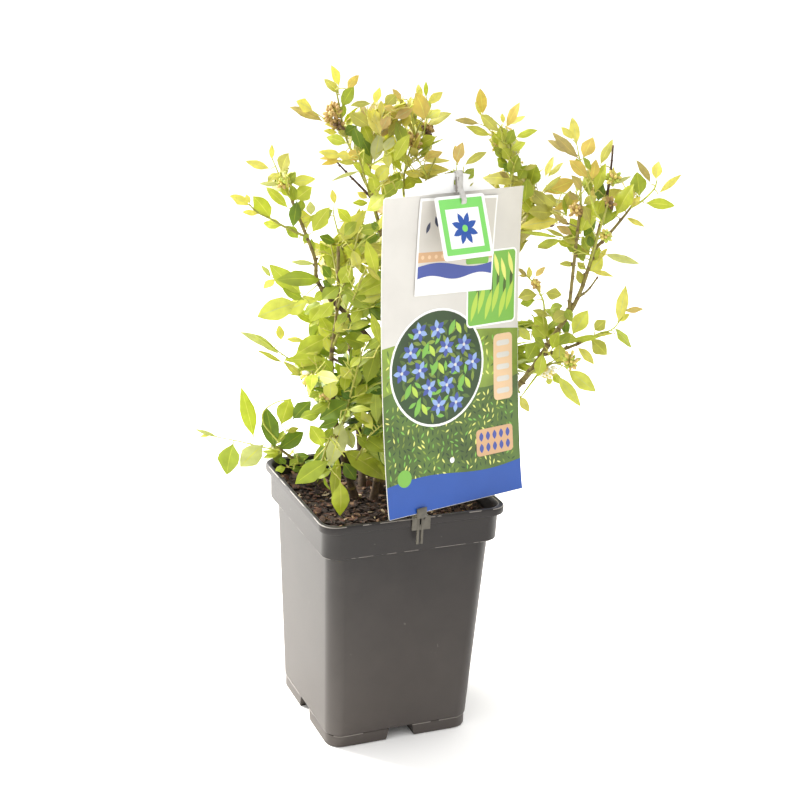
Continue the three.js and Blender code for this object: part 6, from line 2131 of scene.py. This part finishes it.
def add_bare_twig(twigs, buds, path, radius, shade):
    """A leafless twig with swollen nodes and a bud at each."""
    shares = np.linspace(0, 1, 4 * len(path))
    curve = catmull_rom(path)
    points = np.array([curve(share) for share in shares])
    run = shares * path_length(path)
    swell = np.maximum(0, np.cos(2 * math.pi * run / TWIG_NODE_SPACING)) ** 8
    radii = radius * (1 - 0.45 * shares) * (1 + 0.35 * swell)
    loft(twigs, rings_round(points, radii, 8), shade)
    for node in np.arange(TWIG_NODE_SPACING, run[-1], TWIG_NODE_SPACING):
        share = node / run[-1]
        along = heading_on(curve, share)
        out = turned(sideways_to(along), along, 2.4 * node)
        bead(buds, curve(share) + out * radius * 0.9, along + 0.6 * out, 2.4, 0.6, SCALE, 6)
    bead(buds, points[-1], points[-1] - points[-2], 3.4, 0.9, SCALE, 7)


def grow_cluster(buds, twigs, middle, near, radius, kind, draw):
    """Flower buds or bells on short stalks round a middle."""
    shades = CLUSTER_KINDS[kind]
    if np.linalg.norm(middle - near) > PETIOLE_REACH:
        stalk = smooth_path([near, (middle + near) / 2, middle])
        loft(twigs, rings_round(stalk, np.linspace(0.6, 0.5, len(stalk)), 6), FRESH_GREEN)
    count = int(CLUSTER_LEAST + CLUSTER_GROWTH * radius)
    for flower in range(count):
        height = 1 - 2 * (flower + 0.5) / count
        azimuth = flower * GOLDEN_ANGLE + draw()
        level = math.sqrt(1 - height * height)
        out = np.array([level * math.cos(azimuth), level * math.sin(azimuth), height])
        place = middle + out * radius * (0.2 + 0.6 * draw())
        stalk = smooth_path([middle, (middle + place) / 2 + UP * 0.8, place])
        loft(twigs, rings_round(stalk, np.linspace(0.35, 0.28, len(stalk)), 5), SOFT_GREEN)
        drop = unit(out - UP * (BELL_DROOP if kind == "white" else -BUD_RISE))
        size = BELL_SIZE if kind == "white" else 0.85 + 0.4 * draw()
        shade = shades[int(4 * draw()) % 4]
        bead(buds, place + drop * 1.2 * size, drop, 4.4 * size, 1.35 * size, shade, 8)
        if kind == "white":
            bead(buds, place + drop * 3.3 * size, drop, 1.6, 1.0, YELLOW, 7)


# ---- Leaves ----

LEAF_ROWS = np.array([0.0, 0.05, 0.1, 0.19, 0.31, 0.45, 0.59, 0.73, 0.86, 0.95])
LEAF_COLUMNS = np.array([-1.0, -0.52, -0.045, 0.045, 0.52, 1.0])

# A leaf's form: depth of the keel below its midrib, stalk and blade as shares of its length, belly of
# its outline, width of the stalk, cup across the blade, ripple of the edge, waves and teeth in outline
LEAF_KEEL = 0.3
LEAF_STALK = 0.07
LEAF_BLADE = 0.93
LEAF_BELLY = 0.92
LEAF_STALK_WIDTH = 0.055
LEAF_CUP = 0.25
LEAF_RIPPLE = 0.13
LEAF_WAVE = 0.04
LEAF_TOOTH = 0.025
WAVE_TURN = 9
WAVE_PHASE = 6.28
RIPPLE_TURN = 11
RIPPLE_PHASE = 12.6
RIB_COLUMN = 2

# Where a leaf's row holds its tint and its spray's tone, after its frame, size and bends
TINT = 10
TONE = 11


def leaf_profile(rows):
    """Half width at each row as a share of the greatest: a thin stalk, then a pointed oval."""
    blade = np.clip((rows - LEAF_STALK) / LEAF_BLADE, 0, 1)
    return np.maximum(np.sin(math.pi * blade ** LEAF_BELLY), LEAF_STALK_WIDTH)


def leaf_places(leaves):
    """The places of all the leaves' corners, leaf by leaf."""
    root, heading, normal, across = (np.array([leaf[part] for leaf in leaves]) for part in range(4))
    length, half, curl, twist, fold, phase = (
        np.array([leaf[part] for leaf in leaves]) for part in range(4, 10))
    rows = np.append(LEAF_ROWS, 1.0)
    width = np.append(leaf_profile(LEAF_ROWS), 0.0)
    columns = np.append(LEAF_COLUMNS, 0.0)
    y = rows[None, :]
    bend = curl[:, None] * y
    forward = length[:, None] * np.sin(bend) / curl[:, None]
    drop = length[:, None] * (1 - np.cos(bend)) / curl[:, None]
    roll = twist[:, None] * y
    head = heading[:, None] * np.cos(bend)[..., None] - normal[:, None] * np.sin(bend)[..., None]
    face = heading[:, None] * np.sin(bend)[..., None] + normal[:, None] * np.cos(bend)[..., None]
    side = across[:, None] * np.cos(roll)[..., None] + face * np.sin(roll)[..., None]
    face = np.cross(side, head)
    spine = (root[:, None] + heading[:, None] * forward[..., None] - normal[:, None] * drop[..., None])
    reach = half[:, None] * width[None, :]
    tooth = LEAF_TOOTH * np.cos(math.pi * np.arange(len(rows)))
    wave = 1 + LEAF_WAVE * np.sin(WAVE_TURN * y + WAVE_PHASE * phase[:, None]) + tooth
    x = columns[None, None, :] * (reach * wave)[..., None]
    ripple = LEAF_RIPPLE * half[:, None] * np.sin(RIPPLE_TURN * y + RIPPLE_PHASE * phase[:, None])
    rise = np.abs(x) * np.sin(fold)[:, None, None] - LEAF_CUP * x ** 2 / half[:, None, None]
    rise = rise + ripple[..., None] * columns[None, None, :] ** 2 * width[None, :, None]
    rise[..., -1] = -LEAF_KEEL
    x = x * np.cos(fold)[:, None, None]
    places = spine[:, :, None] + side[:, :, None] * x[..., None] + face[:, :, None] * rise[..., None]
    apex = spine[:, -1]
    return np.concatenate([places[:, :-1].reshape(len(leaves), -1, 3), apex[:, None]], 1)


def leaf_faces():
    """One leaf's faces and what each is: 0 blade, 1 midrib, 2 underside."""
    across = len(LEAF_COLUMNS) + 1
    keel = across - 1
    last = len(LEAF_ROWS) - 1
    apex = len(LEAF_ROWS) * across
    faces = []
    kinds = []
    for row in range(len(LEAF_ROWS)):
        low = row * across
        high = low + across
        for column in range(len(LEAF_COLUMNS) - 1):
            near = low + column
            over = (apex,) if row == last else (high + column + 1, high + column)
            faces.append((near, near + 1, *over))
            kinds.append(1 if column == RIB_COLUMN else 0)
        for left, right in ((0, keel), (keel, keel - 1)):
            under = (low + left, apex, low + right) if row == last else (
                low + left, high + left, high + right, low + right)
            faces.append(under)
            kinds.append(2)
    faces.append((*range(keel - 1, -1, -1), keel))
    kinds.append(2)
    return faces, kinds


def make_leaves(name, leaves, materials, order, slot, replaced):
    """One mesh of many leaves, each with its own tint, rib and back."""
    faces, kinds = leaf_faces()
    heap = Heap()
    for corners, leaf in zip(leaf_places(leaves), leaves):
        shades = [order.index(tint) for tint in (leaf[TINT], RIBS[leaf[TINT]], BACKS[leaf[TONE]])]
        heap.add(corners, faces, [shades[kind] for kind in kinds])
    piece_of(name, heap, materials, slot, replaced, crease=75)


# ---- Stage ----

def make_camera():
    eye = Eye()
    camera = linked("camera", bpy.data.cameras.new("camera"))
    camera.data.sensor_width = CAMERA_SENSOR
    camera.data.lens = CAMERA_LENS
    camera.matrix_world = Matrix((eye.right, eye.up, eye.back)).transposed().to_4x4()
    camera.location = Vector(CAMERA_PLACE) * MM
    bpy.context.scene.camera = camera


def make_light(name, place, target, size, power, colour):
    """A square lamp at a place, turned to its target."""
    light = bpy.data.lights.new(name, "AREA")
    light.shape = "SQUARE"
    light.size = size
    light.energy = power
    light.color = colour
    lamp = linked(name, light)
    lamp.location = place
    lamp.rotation_euler = (Vector(target) - Vector(place)).to_track_quat("-Z", "Y").to_euler()


def make_world():
    """A white room, brighter behind and above the plant, and white all round at the horizon."""
    world = bpy.data.worlds.new("studio")
    bpy.context.scene.world = world
    world.use_nodes = True
    nodes = world.node_tree.nodes
    links = world.node_tree.links
    place = nodes.new("ShaderNodeTexCoord")
    toward = nodes.new("ShaderNodeVectorMath")
    toward.operation = "DOT_PRODUCT"
    toward.inputs[1].default_value = BRIGHT_SIDE
    links.new(place.outputs["Generated"], toward.inputs[0])
    strength = nodes.new("ShaderNodeMapRange")
    strength.inputs["From Min"].default_value = WORLD_TURN[0]
    strength.inputs["From Max"].default_value = WORLD_TURN[1]
    strength.inputs["To Min"].default_value = WORLD_DIM
    strength.inputs["To Max"].default_value = WORLD_BRIGHT
    links.new(toward.outputs["Value"], strength.inputs["Value"])
    height = nodes.new("ShaderNodeSeparateXYZ")
    links.new(place.outputs["Generated"], height.inputs["Vector"])
    level = math_node(nodes, links, "ABSOLUTE", height.outputs["Z"])
    horizon = math_node(nodes, links, "LESS_THAN", level, HORIZON_BAND)
    total = math_node(nodes, links, "MAXIMUM", strength.outputs["Result"], horizon)
    links.new(total, nodes["Background"].inputs["Strength"])
    nodes["Background"].inputs["Color"].default_value = (1.0, 1.0, 1.0, 1.0)


def make_stage():
    """A wide white floor, the room and the lights."""
    heap = Heap()
    corners = [(-1, -1), (1, -1), (1, 1), (-1, 1)]
    heap.add([(x * FLOOR_REACH, y * FLOOR_REACH, FLOOR_HEIGHT) for x, y in corners], [(0, 1, 2, 3)], 0)
    floor = linked("floor", mesh_of("floor", heap))
    floor.data.materials.append(surface(*FLOOR_PAPER))
    make_world()
    for row in LIGHTS:
        make_light(*row)
    bpy.context.scene.view_settings.view_transform = "Standard"


# ---- The whole object ----

def dress_pot():
    make_pot(moulded(POT_PLASTIC, POT_PAINTED_BOUNCE, POT_WEAR_AND_HIGHLIGHT, WORN_AND_HIGHLIT_EDGES))
    make_soil(surfaces(PEAT))
    make_chips(surfaces(CHIP_BARKS))


def dress_label():
    inks = {}
    for name, colour in INKS.items():
        share = GROUND_SHADE if name in GROUND_INKS else INK_SHADE
        inks[name] = surface("ink_" + name, colour, shaded(colour, share), *INK_FINISH)
    make_card(inks)
    make_booklet(inks)
    make_tag(inks)
    make_strap(surfaces(STRAP_FILMS))
    make_clip(surface(*CLIP_PLASTIC))


def dress_plant():
    limbs = grow_limbs()
    plant = Plant(limbs)
    barks = surfaces(LIMB_BARKS)
    rng = np.random.default_rng(5)
    buds = Heap()
    for group, piece, slot in ((CANES, "bark_canes", "bark"), (BOUGHS, "bark_boughs", "young_bark")):
        heap = Heap()
        names = [row[0] for row in group]
        for name in names:
            old_share = 0.0 if "right" in name else OLD_BARK_SHARE
            bark(heap, buds, limbs[name], rng, old_share)
        piece_of(piece, heap, barks, slot, names, crease=60)
    leaves = []
    twigs = Heap()
    for index in range(len(SPRAYS)):
        grow_wood(plant, index, twigs)
    grow_key_twigs(plant, twigs, buds)
    grow_key_leaves(plant, leaves, twigs, buds)
    for index in range(len(SPRAYS)):
        grow_leaves(plant, index, leaves)
    piece_of("twigs", twigs, surfaces(TWIG_BARKS), "young_bark", [row[0] for row in SPRAYS], crease=60)
    piece_of("buds_and_bells", buds, surfaces(BLOOMS), "young_bark", crease=60)
    order = [*TINTS, *BACK_COLOURS]
    materials = [leafy("leaf_" + name, colour, colour) for name, colour in TINTS.items()]
    materials += [leafy("leaf_" + name, colour, BACK_GLOW) for name, colour in BACK_COLOURS.items()]
    for tone in TONES:
        chosen = [leaf for leaf in leaves if leaf[TONE] == tone]
        replaced = [spray["name"] for spray in plant.sprays if spray["tone"] == tone]
        slot = "young_leaves" if tone == "tip" else "leaves"
        make_leaves("leaves_" + tone, chosen, materials, order, slot, replaced)


dress_pot()
dress_label()
dress_plant()
make_camera()
make_stage()
